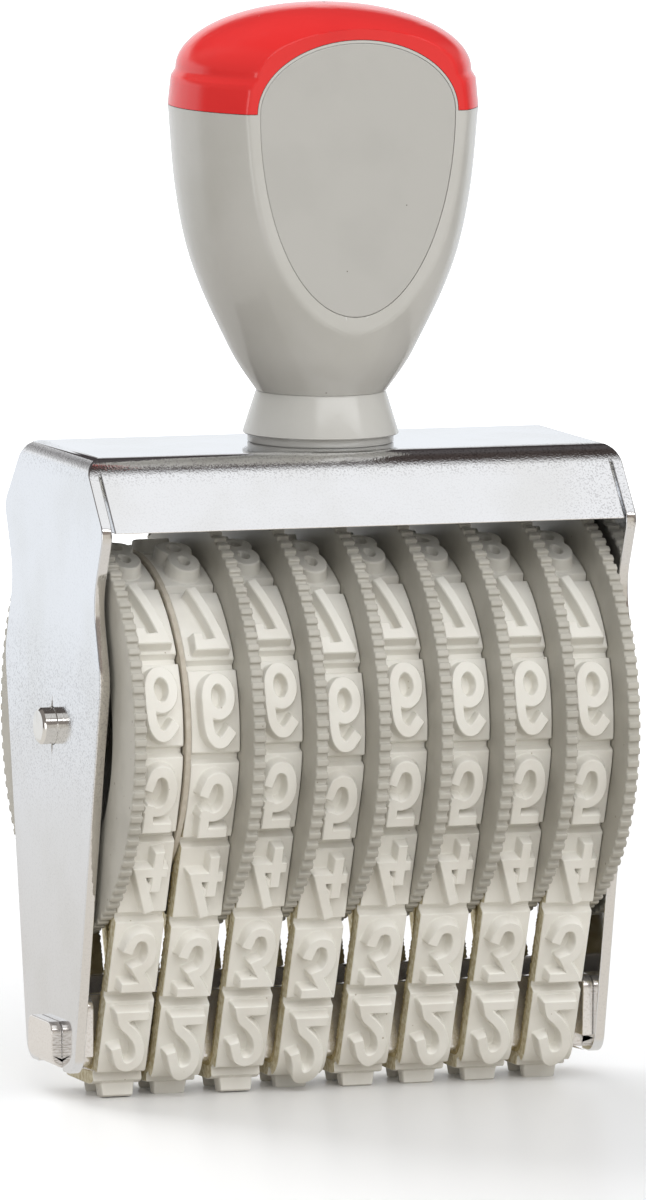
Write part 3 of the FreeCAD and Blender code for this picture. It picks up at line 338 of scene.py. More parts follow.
# The cut edges of the bridge's ears, outside the side plates, show the marks of the shears
bridge_plate, tree, surface = new_finish("bridge_plate", Metallic=0.8)
skin = use_effect(tree, plating_skin, Grain=0.3 * MM, Patch=6 * MM)
outside = between(tree, reckon(tree, "ABSOLUTE", parts_of(tree, "Object")[0]), 37.9 * MM, 38.2 * MM)
stretched = put(tree, "Mapping", Vector=put(tree, "TexCoord").outputs["Object"], Scale=(0.4, 1, 3))
shear_marks = put(tree, "TexNoise", Vector=stretched.outputs["Vector"], Scale=2400.0, Detail=3.0)
torn = product(tree, facing_the_front(tree), outside, between(tree, shear_marks.outputs["Fac"], 0.4, 0.7))
# The beige of both tones is a painted reflection of the warm table close by; which tone shows varies at
# random.
plating_and_reflection = mixed(tree, between(tree, skin["Height"], 0.5, 0.75), (0.9, 0.87, 0.84, 1), (0.8, 0.75, 0.7, 1))
painted(tree, surface, torn, plating_and_reflection, (0.5, 0.46, 0.42, 1))
feed(tree, surface.inputs["Roughness"], reckon(tree, "MULTIPLY_ADD", skin["Dullness"], 0.1, 0.16))
bumped(tree, surface, skin["Height"], 0.006 * MM)


JOINED_WITHIN = 1e-6
PLAIN_WITHIN, SHARP_FROM = math.radians(0.3), math.radians(38)
SHEET_EDGE = 0.2 * MM


def dress(node, finish, bevel, plain_faces=False):
    """Gives a CAD node its finish and the small roundings that its pressed or turned edges have."""
    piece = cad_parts[node]
    piece.data.materials.clear()
    piece.data.materials.append(finish)
    if "custom_normal" in piece.data.attributes:
        piece.data.attributes.remove(piece.data.attributes["custom_normal"])
    piece.data.shade_smooth()
    weld = piece.modifiers.new("joined_faces", "WELD")
    weld.merge_threshold = JOINED_WITHIN
    if plain_faces:
        plain = piece.modifiers.new("plain_faces", "DECIMATE")
        plain.decimate_type = "DISSOLVE"
        plain.angle_limit = PLAIN_WITHIN
    rounding = piece.modifiers.new("rounded_edges", "BEVEL")
    rounding.width, rounding.segments = bevel, 2
    rounding.limit_method, rounding.angle_limit = "ANGLE", SHARP_FROM
    rounding.use_clamp_overlap = not plain_faces
    rounding.loop_slide = False
    even = piece.modifiers.new("even_shading", "WEIGHTED_NORMAL")
    even.keep_sharp = True


dress("frame", chrome, SHEET_EDGE, plain_faces=True)
dress("bridge", bridge_plate, SHEET_EDGE, plain_faces=True)


# Axle, end washers and separator disc: a bright turned steel bar with a washer at each end, and a thin
# disc of brown fibre that keeps the first two bands apart.

TURNED_EDGE = 0.08 * MM


def shade(red, green, blue):
    """A colour as it shows on a screen, from 0 to 255, turned into light."""
    tones = [tone / 255 for tone in (red, green, blue)]
    return tuple(tone / 12.92 if tone < 0.04045 else ((tone + 0.055) / 1.055) ** 2.4
                 for tone in tones) + (1,)


steel, tree, surface = new_finish("bright_steel", Metallic=1.0)
skin = use_effect(tree, plating_skin, Grain=0.3 * MM, Patch=4 * MM)
painted(tree, surface, skin["Dullness"], (0.84, 0.82, 0.78, 1), (0.7, 0.68, 0.64, 1))
feed(tree, surface.inputs["Roughness"], reckon(tree, "MULTIPLY_ADD", skin["Dullness"], 0.1, 0.08))
bumped(tree, surface, skin["Height"], 0.003 * MM)
for node in ("axle", "end_washer_left", "end_washer_right"):
    dress(node, steel, TURNED_EDGE)

fibre, tree, surface = new_finish("brown_fibre", Roughness=0.62)
flecks = noise(tree, 900.0, 5.0)
painted(tree, surface, flecks, shade(170, 160, 144), shade(206, 200, 188))
bumped(tree, surface, flecks, 0.03 * MM)
dress("separator_disc", fibre, 0.1 * MM)


# Band wheels: moulded grey plastic, each a drum for its band with a serrated ring for the thumb.
# The plastic is satin, with faint duller patches and a few specks of dirt from the fingers.

# Scattered specks of dust or tiny chips
specks, given, made = new_effect("specks", {"Size": 0.0015, "Amount": 0.3}, {"Mask": "Float"})
spot = put(specks, "TexCoord").outputs["Object"]
cells = put(specks, "TexVoronoi", {"feature": "F1"}, Vector=spot, Scale=in_grains(specks, given["Size"]))
picked = put(specks, "SeparateColor", Color=cells.outputs["Color"]).outputs
chosen = reckon(specks, "LESS_THAN", picked[0], given["Amount"])
reach = reckon(specks, "MULTIPLY_ADD", picked[1], 0.16, 0.04)
inside = reckon(specks, "LESS_THAN", cells.outputs["Distance"], reach)
feed(specks, made["Mask"], product(specks, chosen, inside))


def moulded(tree, surface, tones, grain, patch, speck, amount, ripple):
    """Paints a moulding: plain, duller in patches, with specks of dirt. Its lengths are in millimetres."""
    plain, worn, dirt = (shade(*tone) for tone in tones)
    skin = use_effect(tree, plating_skin, Grain=grain * MM, Patch=patch * MM)
    dust = use_effect(tree, specks, Size=speck * MM, Amount=amount)["Mask"]
    painted(tree, surface, dust, mixed(tree, skin["Dullness"], plain, worn), dirt)
    bumped(tree, surface, skin["Height"], ripple * MM)
    return skin, dust


wheel_plastic, tree, surface = new_finish("wheel_grey", Roughness=0.42, Specular_IOR_Level=0.4)
moulded(tree, surface, [(181, 178, 169), (171, 168, 159), (140, 134, 122)],
        grain=0.3, patch=6, speck=0.9, amount=0.02, ripple=0.012)
for number in range(1, 9):
    dress(f"wheel_{number}", wheel_plastic, 0.2 * MM)


# Bands: light grey rubber type vulcanised on a woven cotton strip, closed to a loop of fifteen tiles.
# Ten tiles carry raised mirror-image digits with drafted sides, and a groove between tiles lets it bend.
# Each loop has crept a little round its wheel, and its cut edges show the tan of the cloth.

# In millimetres: the band's section, the foot of the bridge that it runs round, and the drum above
BAND_HALF_WIDTH = 3.45
BACKING, TILE_FACE, DIGIT_RELIEF = 0.6, 2.4, 1.8
UNDERSIDE, CORNER, FLAT_HALF = 4.2, 2.0, 4.25
DRUM, AXLE_LEVEL = 20.5, 50.15
PITCH_LINE, TILES = 1.2, 15
COLUMNS = [-30.7, -22.7, -13.8, -4.9, 4.0, 12.9, 21.8, 30.7]
CREEP_SHARES = [-0.06, 0.025, -0.06, 0.11, -0.02, -0.005, 0.005, 0.04]

# Half of the loop, up the front: flat under the bridge, round its corner, a straight strand, and the drum
SPAN = math.hypot(FLAT_HALF, AXLE_LEVEL - UNDERSIDE - CORNER)
TURN = math.atan2(FLAT_HALF, AXLE_LEVEL - UNDERSIDE - CORNER) + math.acos((DRUM - CORNER) / SPAN)
STRAND = math.sqrt(SPAN ** 2 - (DRUM - CORNER) ** 2)
STRAND_START = FLAT_HALF + (CORNER + PITCH_LINE) * TURN
DRUM_START = STRAND_START + STRAND
HALF_LOOP = DRUM_START + (DRUM + PITCH_LINE) * (math.pi - TURN)
TILE = 2 * HALF_LOOP / TILES


def on_the_loop(run, height):
    """Depth and level of places on a band, from how far round it and how high on it they are."""
    run = np.mod(run, 2 * HALF_LOOP)
    side = np.where(run <= HALF_LOOP, -1, 1)
    ahead = np.where(run <= HALF_LOOP, run, 2 * HALF_LOOP - run)
    angle = np.select([ahead <= FLAT_HALF, ahead <= STRAND_START, ahead <= DRUM_START],
                      [0 * ahead, (ahead - FLAT_HALF) / (CORNER + PITCH_LINE), TURN + 0 * ahead],
                      TURN + (ahead - DRUM_START) / (DRUM + PITCH_LINE))
    past = np.select([ahead <= FLAT_HALF, ahead <= STRAND_START], [ahead - FLAT_HALF, 0 * ahead],
                     ahead - STRAND_START)
    depth = FLAT_HALF + (CORNER + height) * np.sin(angle) + past * np.cos(angle)
    level = UNDERSIDE + CORNER - (CORNER + height) * np.cos(angle) + past * np.sin(angle)
    drum = ahead > DRUM_START
    depth = np.where(drum, (DRUM + height) * np.sin(angle), depth)
    level = np.where(drum, AXLE_LEVEL - (DRUM + height) * np.cos(angle), level)
    return side * depth, level


# Strokes of the digits, as shares of half their width and height: corners join straight or curved runs
DIGIT_STROKE_SHARES = {
    "1": [[[(-0.62, 0.5), (0.1, 1)], [(0.1, 1), (0.1, -1)]], [[(-0.75, -1), (0.95, -1)]]],
    "2": [[[(-0.98, 0.42), (-0.62, 0.87), (0.05, 1), (0.78, 0.84), (0.98, 0.46), (0.7, 0.02), (0.1, -0.34),
            (-0.66, -0.66), (-0.93, -1)], [(-0.93, -1), (1, -1)]]],
    "3": [[[(-0.88, 1), (0.88, 1)], [(0.88, 1), (-0.12, 0.3)],
           [(-0.12, 0.3), (0.6, 0.14), (0.98, -0.33), (0.7, -0.84), (0, -1), (-0.66, -0.88),
            (-0.98, -0.52)]]],
    "4": [[[(0.12, 1), (-0.95, -0.38)], [(-0.95, -0.38), (1, -0.38)]], [[(0.55, -1), (0.55, 0.2)]]],
    "5": [[[(0.8, 1), (-0.8, 1)], [(-0.8, 1), (-0.8, 0.3)]],
          [[(-0.8, 0.27), (-0.1, 0.37), (0.68, 0.18), (1, -0.3), (0.72, -0.82), (0, -1), (-0.66, -0.88),
            (-0.95, -0.55)]]],
    "6": [[[(-1, -0.3), (-0.98, 0.2), (-0.78, 0.7), (-0.25, 0.98), (0.35, 0.98), (0.86, 0.74)]]],
    "7": [[[(-0.98, 0.78), (-0.98, 1)], [(-0.98, 1), (0.95, 1)], [(0.95, 1), (-0.38, -1)]]],
    "8": [],
    "9": [[[(1, 0.3), (0.98, -0.2), (0.78, -0.7), (0.25, -0.98), (-0.35, -0.98), (-0.86, -0.74)]]],
    "0": [],
}
# Rings of the digits in the same shares: the middle up the digit, and half of the width and height
RING_SHARES = {"6": [(-0.44, 1, 0.56)], "9": [(0.44, 1, 0.56)], "0": [(0, 1, 1)],
               "8": [(0.53, 0.86, 0.47), (-0.47, 1, 0.53)]}
DIGIT_HALF_WIDTH, DIGIT_HALF_HEIGHT, HALF_STROKE = 1.68, 3.83, 0.66
CURVE_STEPS, RING_POINTS, SHARPEST_MITRE = 5, 56, 0.35
# The digit's side from the tile up: how far outside its edge, and how high
SIDE_STEPS = [(0.42, 0.0), (0.3, 0.12), (0.06, 1.64), (-0.07, DIGIT_RELIEF)]


def smooth_line(points, steps):
    """Points along a smooth curve through the given ones."""
    points = np.array(points, float)
    ends = np.vstack([2 * points[0] - points[1], points, 2 * points[-1] - points[-2]])
    line = []
    for a, b, c, d in zip(ends, ends[1:], ends[2:], ends[3:]):
        for t in np.linspace(0, 1, steps, endpoint=False):
            line.append(0.5 * (2 * b + (c - a) * t + (2 * a - 5 * b + 4 * c - d) * t ** 2
                               + (3 * b - a - 3 * c + d) * t ** 3))
    return line + [points[-1]]


def depth_inside(spots, outline):
    """Distance of spots from a closed outline, negative inside it."""
    start, end = outline, np.roll(outline, -1, axis=0)
    edge = end - start
    away = spots[:, None, :] - start[None]
    share = np.clip((away * edge).sum(2) / (edge ** 2).sum(1), 0, 1)
    nearest = np.linalg.norm(away - share[..., None] * edge, axis=2).min(1)
    above = start[None, :, 1] > spots[:, None, 1]
    crossing = above != (end[None, :, 1] > spots[:, None, 1])
    left_of = edge[:, 0] * away[..., 1] - edge[:, 1] * away[..., 0] > 0
    winding = (crossing & ~above & left_of).sum(1) - (crossing & above & ~left_of).sum(1)
    return np.where(winding != 0, -nearest, nearest)


def stroke_outline(runs):
    """Outline of a stroke with square ends and pointed corners, in millimetres on the tile."""
    line = []
    for run in runs:
        shares = smooth_line(run, CURVE_STEPS) if len(run) > 2 else run
        line += list(shares)[1 if line else 0:]
    line = np.array(line) * (DIGIT_HALF_WIDTH, -DIGIT_HALF_HEIGHT)
    ways = np.diff(line, axis=0)
    ways /= np.linalg.norm(ways, axis=1)[:, None]
    line[0] -= ways[0] * HALF_STROKE
    line[-1] += ways[-1] * HALF_STROKE
    before, after = np.vstack([ways[:1], ways]), np.vstack([ways, ways[-1:]])
    aside = np.stack([-(before + after)[:, 1], (before + after)[:, 0]], 1)
    aside /= np.linalg.norm(aside, axis=1)[:, None]
    square = aside[:, 0] * -after[:, 1] + aside[:, 1] * after[:, 0]
    aside *= (HALF_STROKE / np.maximum(square, SHARPEST_MITRE))[:, None]
    return np.vstack([line + aside, (line - aside)[::-1]])


def digit_field(digit, spots):
    """Distance of spots from the edge of a digit, negative on it."""
    fields = [depth_inside(spots, stroke_outline(stroke)) for stroke in DIGIT_STROKE_SHARES[digit]]
    for middle, half_width, half_height in RING_SHARES.get(digit, []):
        angles = np.linspace(0, 2 * math.pi, RING_POINTS, endpoint=False)
        ring = np.stack([half_width * DIGIT_HALF_WIDTH * np.cos(angles),
                         (half_height * np.sin(angles) - middle) * DIGIT_HALF_HEIGHT], 1)
        fields.append(np.abs(depth_inside(spots, ring)) - HALF_STROKE)
    return np.min(fields, axis=0)


def lines_at(field, across, along, level):
    """Closed lines on which a field over a grid has one value."""
    field = field - level
    crossings, links = {}, {}
    inside = field < 0
    mixed_cells = inside[:-1, :-1].astype(int) + inside[1:, :-1] + inside[:-1, 1:] + inside[1:, 1:]
    for i, j in zip(*np.nonzero((mixed_cells > 0) & (mixed_cells < 4))):
        found = []
        for a, b in (((i, j), (i + 1, j)), ((i + 1, j), (i + 1, j + 1)), ((i, j + 1), (i + 1, j + 1)),
                     ((i, j), (i, j + 1))):
            if inside[a] != inside[b]:
                share = field[a] / (field[a] - field[b])
                crossings[a + b] = np.array([across[a[0]] + share * (across[b[0]] - across[a[0]]),
                                             along[a[1]] + share * (along[b[1]] - along[a[1]])])
                found.append(a + b)
        for first, second in zip(found[::2], found[1::2]):
            links.setdefault(first, []).append(second)
            links.setdefault(second, []).append(first)
    lines = []
    while links:
        here, line = next(iter(links)), []
        while here in links:
            line.append(crossings[here])
            following = [other for other in links.pop(here) if other in links]
            here = following[0] if following else None
        lines.append(np.array(line))
    return lines


def thinned(line, slack):
    """An open line without the points that lie within a slack of the straight one."""
    if len(line) < 3:
        return [line[0], line[-1]]
    chord = line[-1] - line[0]
    away = line - line[0]
    offset = np.abs(chord[0] * away[:, 1] - chord[1] * away[:, 0]) / max(np.hypot(*chord), 1e-9)
    far = int(offset.argmax())
    if offset[far] < slack:
        return [line[0], line[-1]]
    return thinned(line[:far + 1], slack)[:-1] + thinned(line[far:], slack)


LINE_SLACK, LONGEST_STEP = 0.012, 0.7


def closed_line(line):
    """A closed line with few points on its straight runs, and none further apart than the longest step."""
    middle = int(np.linalg.norm(line - line[0], axis=1).argmax())
    ring = thinned(line[:middle + 1], LINE_SLACK)[:-1]
    ring += thinned(np.vstack([line[middle:], line[:1]]), LINE_SLACK)[:-1]
    points = []
    for start, end in zip(ring, ring[1:] + ring[:1]):
        steps = max(1, math.ceil(np.linalg.norm(end - start) / LONGEST_STEP))
        points += [start + (end - start) * step / steps for step in range(steps)]
    return points


# Points over a tile: its edge falls off a little, and a groove's half falls off in steps from its middle
ACROSS = np.concatenate([[-BAND_HALF_WIDTH], np.linspace(-3.34, 3.34, 12), [BAND_HALF_WIDTH]])
GROOVE_STEPS = [(0.0, -1.1), (0.3, -1.1), (0.38, -1.02), (0.7, -0.1), (0.86, 0.0)]
ROWS_ALONG, EDGE_DROP, HAIR = 19, 0.11, 0.01
# Round a digit's edge those points make way for its sides, which come from a finer grid
CLEAR_OUTSIDE, CLEAR_INSIDE = 0.55, -0.22
REACH_ACROSS, REACH_ALONG, FINE_STEP = 3.2, 5.2, 0.1
FEWEST_POINTS, SAME_SPOT = 8, 1e-6


def tile_sheet(digit):
    """One tile laid flat: its points as (across, along, height) and its triangles."""
    half = TILE / 2
    ends = [half - step for step, _ in GROOVE_STEPS]
    middle = np.linspace(-ends[-1], ends[-1], ROWS_ALONG)[1:-1]
    along = np.array([-end for end in ends] + list(middle) + ends[::-1])
    grid = np.array([(x, s) for s in along for x in ACROSS])
    steps, drops = zip(*GROOVE_STEPS)
    height = TILE_FACE + np.interp(half - np.abs(grid[:, 1]), steps, drops)
    height -= np.where(np.abs(grid[:, 0]) > BAND_HALF_WIDTH - HAIR, EDGE_DROP, 0)
    if digit is None:
        rows, columns = len(along), len(ACROSS)
        faces = [(r * columns + c, r * columns + c + 1, (r + 1) * columns + c + 1, (r + 1) * columns + c)
                 for r in range(rows - 1) for c in range(columns - 1)]
        return np.column_stack([grid, height]), faces, along
    field = digit_field(digit, grid)
    kept = (field > CLEAR_OUTSIDE) | (field < CLEAR_INSIDE) | (np.abs(grid[:, 0]) > REACH_ACROSS)
    kept |= np.abs(grid[:, 1]) > ends[-1] - HAIR
    height = np.where(field < CLEAR_INSIDE, TILE_FACE + DIGIT_RELIEF, height)[kept]
    points, edges = [tuple(spot) for spot in grid[kept]], []
    heights = list(height)
    fine_across = np.arange(-REACH_ACROSS, REACH_ACROSS + HAIR, FINE_STEP)
    fine_along = np.arange(-REACH_ALONG, REACH_ALONG + HAIR, FINE_STEP)
    fine = np.array([(x, s) for x in fine_across for s in fine_along])
    fine_field = digit_field(digit, fine).reshape(len(fine_across), len(fine_along))
    for level, rise in SIDE_STEPS:
        for line in lines_at(fine_field, fine_across, fine_along, level):
            if len(line) < FEWEST_POINTS:
                continue
            ring = closed_line(line)
            first = len(points)
            points += [tuple(spot) for spot in ring]
            heights += [TILE_FACE + rise] * len(ring)
            edges += [(first + step, first + (step + 1) % len(ring)) for step in range(len(ring))]
    flat_points = [Vector(point) for point in points]
    spots, _, faces, origins, _, _ = delaunay_2d_cdt(flat_points, edges, [], 0, SAME_SPOT)
    level_of = [heights[origin[0]] if origin else TILE_FACE for origin in origins]
    return np.column_stack([np.array(spots), level_of]), faces, along


# Corners that agree to this many decimals of a millimetre are one, and a cut side is flat to this slack
WELD_DECIMALS, SIDE_SLACK = 4, 0.001


def band_mesh(name, sheets, column, creep):
    """The whole loop: tiles welded end to end, cut sides and a plain inner face."""
    flat, faces, first = [], [], 0
    for tile, (points, tile_faces, along) in enumerate(sheets):
        runs = tile * TILE + points[:, 1]
        flat.append(np.column_stack([points[:, 0], runs, points[:, 2]]))
        faces += [tuple(first + corner for corner in face) for face in tile_faces]
        first += len(points)
        rows = len(along)
        steps, drops = zip(*GROOVE_STEPS)
        top = TILE_FACE - EDGE_DROP + np.interp(TILE / 2 - np.abs(along), steps, drops)
        for side in (-BAND_HALF_WIDTH, BAND_HALF_WIDTH):
            for level in (top, np.full(rows, BACKING)):
                flat.append(np.column_stack([np.full(rows, side), tile * TILE + along, level]))
        left_top, left_foot, right_top, right_foot = (first + rows * step for step in range(4))
        for row in range(rows - 1):
            faces += [(left_foot + row, left_top + row, left_top + row + 1, left_foot + row + 1),
                      (right_top + row, right_foot + row, right_foot + row + 1, right_top + row + 1),
                      (right_foot + row, left_foot + row, left_foot + row + 1, right_foot + row + 1)]
        first += 4 * rows
    flat = np.vstack(flat)
    flat[:, 1] = np.mod(np.round(flat[:, 1], WELD_DECIMALS), round(2 * HALF_LOOP, WELD_DECIMALS))
    flat, places = np.unique(np.round(flat, WELD_DECIMALS), axis=0, return_inverse=True)
    faces = [tuple(places.ravel()[corner] for corner in face) for face in faces]
    depth, level = on_the_loop(flat[:, 1] - creep, flat[:, 2])
    return new_piece(name, np.column_stack([flat[:, 0] + column, depth, level]), faces)


def new_piece(name, corners, faces):
    """A mesh piece from corners in millimetres."""
    mesh = bpy.data.meshes.new(name)
    mesh.from_pydata([tuple(float(number) * MM for number in corner) for corner in corners], [], faces)
    mesh.validate()
    piece = bpy.data.objects.new(name, mesh)
    bpy.context.scene.collection.objects.link(piece)
    return piece


def finish_piece(piece, finish, slot, *nodes, angle=38):
    """Shades a piece, hangs it on the fixed body and hides the CAD nodes that it stands for."""
    piece.data.materials.clear()
    piece.data.materials.append(finish)
    piece.data.shade_smooth()
    piece.data.set_sharp_from_angle(angle=math.radians(angle))
    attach(piece, "root")
    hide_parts(*nodes)


rubber, tree, surface = new_finish("type_rubber", Roughness=0.6, Specular_IOR_Level=0.35)
moulded(tree, surface, [(231, 229, 222), (224, 221, 213), (186, 178, 164)],
        grain=0.35, patch=7, speck=0.8, amount=0.02, ripple=0.01)

cut_rubber, tree, surface = new_finish("cut_rubber_edge", Roughness=0.75, Specular_IOR_Level=0.25)
threads = noise(tree, 1500.0, 4.0)
painted(tree, surface, between(tree, threads, 0.35, 0.65), shade(206, 195, 162), shade(234, 228, 206))
bumped(tree, surface, threads, 0.05 * MM)

sheets = [tile_sheet(digit) for digit in "1234567890"] + [tile_sheet(None)] * (TILES - 10)
for number, (column, share) in enumerate(zip(COLUMNS, CREEP_SHARES), start=1):
    band = band_mesh(f"type_band_{number}", sheets, column, share * TILE)
    finish_piece(band, rubber, "type_rubber", f"band_{number}", angle=30)
    band.data.materials.append(cut_rubber)
    for face in band.data.polygons:
        if abs(abs(face.center.x - column * MM) - BAND_HALF_WIDTH * MM) < SIDE_SLACK * MM:
            face.material_index = 1


# Woven backing: a strip of olive-brown cotton under each band, with its threads cut along both edges.
# Its inner face rises and falls with the weave, and the rubber covers the outer one.

WEAVE_PITCH, POINTS_TO_A_THREAD = 0.55, 3
THREAD_RISE, RAGGEDNESS, INSET, SUNK = 0.05, 0.05, 0.04, 0.03
EDGE_SHARE = 0.97


def backing_mesh(name, column, seed):
    """A closed strip whose inner face rises and falls with the threads and whose edges are ragged."""
    rows = int(2 * HALF_LOOP / WEAVE_PITCH) * POINTS_TO_A_THREAD
    across = np.array([-1, -EDGE_SHARE] + list(np.linspace(-0.9, 0.9, 13)) + [EDGE_SHARE, 1])
    ragged = np.random.default_rng(seed).normal(0, RAGGEDNESS, (rows, 2))
    corners, faces = [], []
    count = 2 * len(across)
    for row in range(rows):
        run = 2 * HALF_LOOP * row / rows
        thread = math.cos(math.pi * run / WEAVE_PITCH)
        for face in (0, 1):
            for share in (across if face else across[::-1]):
                x = share * (BAND_HALF_WIDTH - INSET)
                if abs(share) >= EDGE_SHARE:
                    x += share * (ragged[row, int(share > 0)] + THREAD_RISE * abs(thread))
                lift = THREAD_RISE * thread * math.cos(math.pi * x / WEAVE_PITCH)
                height = BACKING - SUNK if face else THREAD_RISE + lift
                corners.append((x + column, run, height))
        here, following = row * count, (row + 1) % rows * count
        faces += [(here + step, here + (step + 1) % count, following + (step + 1) % count, following + step)
                  for step in range(count)]
    corners = np.array(corners)
    depth, level = on_the_loop(corners[:, 1], corners[:, 2])
    return new_piece(name, np.column_stack([corners[:, 0], depth, level]), faces)


cloth, tree, surface = new_finish("woven_cotton", Roughness=0.9, Specular_IOR_Level=0.2)
strands, soil = noise(tree, 2200.0, 3.0), noise(tree, 260.0, 2.0)
painted(tree, surface, between(tree, soil, 0.35, 0.65),
        mixed(tree, strands, shade(188, 172, 126), shade(232, 222, 184)), shade(176, 160, 120))
bumped(tree, surface, strands, 0.08 * MM)
for number, column in enumerate(COLUMNS, start=1):
    finish_piece(backing_mesh(f"woven_backing_{number}", column, number), cloth, "woven_backing",
                 f"backing_{number}", angle=60)


# Screw, washer and brass thread: they hold the handle to the frame, the screw from under the top plate.
# The first two are turned from the axle's steel, and the brass thread sits in the handle's boss.

for node in ("handle_screw", "screw_washer"):
    dress(node, steel, TURNED_EDGE)
brass, tree, surface = new_finish("brass", Metallic=1.0, Roughness=0.28)
skin = use_effect(tree, plating_skin, Grain=0.3 * MM, Patch=4 * MM)
painted(tree, surface, skin["Dullness"], (0.8, 0.62, 0.32, 1), (0.62, 0.45, 0.2, 1))
bumped(tree, surface, skin["Height"], 0.01 * MM)
dress("threaded_insert", brass, TURNED_EDGE)


# Handle: a grey moulded body and a red cap snapped over it, both glossy, with flats front and back.
# The body's flat runs up into the cap as an arch, and a plain grey plate is let into the front one.

# Levels over the table and half widths, in millimetres
NECK_LEVEL, SEAM_LEVEL = 94.6, 133.3
NECK_RADIUS, HANDLE_RADIUS, HANDLE_FLAT = 8.8, 21.0, 14.1
CAP_STEP_LEVEL, CAP_STEP_RADIUS = 137.3, 20.6
DOME_LEVEL, DOME_RADIUS, CAP_TOP_LEVEL = 138.2, 20.0, 147.1
ARCH_HALF_WIDTH, ARCH_RISE, ARCH_DROP, ARCH_DEPTH = 14.3, 9.75, 6, 2.2
PANEL_HALF_WIDTH, PANEL_RISE, PANEL_DROP, PANEL_DEPTH = 13.9, 9.3, 27.6, 0.8
SEAM_GAP, PANEL_PLAY, PAST = 0.08, 0.04, 3
# The handle's swelling from the neck to the seam, as shares of its rise and of its growth
PEAR_SHARES = [(0, 0), (0.09, 0.2), (0.17, 0.34), (0.354, 0.617), (0.522, 0.80), (0.734, 0.925), (1, 1)]
PEAR_STEPS, DOME_STEPS, SIDE_STEPS_ROUND, FLAT_STEPS, EGG_STEPS = 12, 36, 38, 15, 96
FLAT_EDGE_ROUNDING, FLATTEST_EDGE = 0.4, math.radians(86)


def quarter_with_flat(radius, flat):
    """A quarter of a ring from its side to its front, pressed flat there and a little rounded beside it."""
    edge = math.asin(min(flat / radius, math.sin(FLATTEST_EDGE)))
    turn = FLAT_EDGE_ROUNDING / radius
    beyond = math.pi / 2 - edge - turn
    angles = [(edge - turn) * step / SIDE_STEPS_ROUND for step in range(SIDE_STEPS_ROUND)]
    angles += [edge - turn, edge]
    angles += [edge + turn + beyond * (step / FLAT_STEPS) for step in range(FLAT_STEPS)]
    rounding = FLAT_EDGE_ROUNDING / 5 if radius > flat else 0
    return [(radius * math.cos(angle), min(radius * math.sin(angle), flat) - rounding * (angle == edge))
            for angle in angles]


def turned(name, profile, steps=0, flat=None):
    """A closed shape turned round the upright axis, in steps or with its front and back pressed flat."""
    corners, faces = [(0, 0, profile[0][1])], []
    for radius, level in profile:
        if flat:
            quarter = quarter_with_flat(radius, flat)
            mirror = [(-x, y) for x, y in [(0, min(radius, flat))] + quarter[:0:-1]]
            half = quarter + mirror
            ring = half + [(-x, -y) for x, y in half]
        else:
            angles = [2 * math.pi * step / steps for step in range(steps)]
            ring = [(radius * math.cos(angle), radius * math.sin(angle)) for angle in angles]
        steps = len(ring)
        corners += [(across, deep, level) for across, deep in ring]
    corners.append((0, 0, profile[-1][1]))
    last = len(corners) - 1
    for step in range(steps):
        following = (step + 1) % steps
        faces.append((0, 1 + following, 1 + step))
        for ring in range(len(profile) - 1):
            lower, upper = 1 + ring * steps, 1 + (ring + 1) * steps
            faces.append((lower + step, lower + following, upper + following, upper + step))
        top = 1 + (len(profile) - 1) * steps
        faces.append((top + step, top + following, last))
    return new_piece(name, corners, faces)


def prism(name, outline, front, back):
    """An upright outline of (across, level) corners, run from front to back."""
    count = len(outline)
    corners = [(x, y, z) for y in (front, back) for x, z in outline]
    faces = [tuple(range(count)), tuple(range(2 * count - 1, count - 1, -1))]
    faces += [(step + count, (step + 1) % count + count, (step + 1) % count, step) for step in range(count)]
    return new_piece(name, corners, faces)


def egg(half_width, rise, drop):
    """Outline round the seam's level: half an ellipse above it and half a longer one below."""
    outline = []
    for step in range(EGG_STEPS):
        angle = 2 * math.pi * step / EGG_STEPS
        reach = rise if math.sin(angle) > 0 else drop
        outline.append((half_width * math.cos(angle), SEAM_LEVEL + reach * math.sin(angle)))
    return outline


def carved(piece, *steps):
    """The piece after joining, cutting or keeping what it shares with other shapes, which are used up."""
    for operation, tool in steps:
        modifier = piece.modifiers.new("carving", "BOOLEAN")
        modifier.operation = operation
        modifier.solver = "MANIFOLD"
        modifier.object = tool
    bpy.context.view_layer.update()
    settled = bpy.data.meshes.new_from_object(piece.evaluated_get(bpy.context.evaluated_depsgraph_get()))
    piece.modifiers.clear()
    piece.data = settled
    for tool in {tool for _, tool in steps}:
        bpy.data.objects.remove(tool)
    return piece


def box(name, low, high):
    """A plain block between two corners."""
    outline = [(low[0], low[2]), (high[0], low[2]), (high[0], high[2]), (low[0], high[2])]
    return prism(name, outline, low[1], high[1])


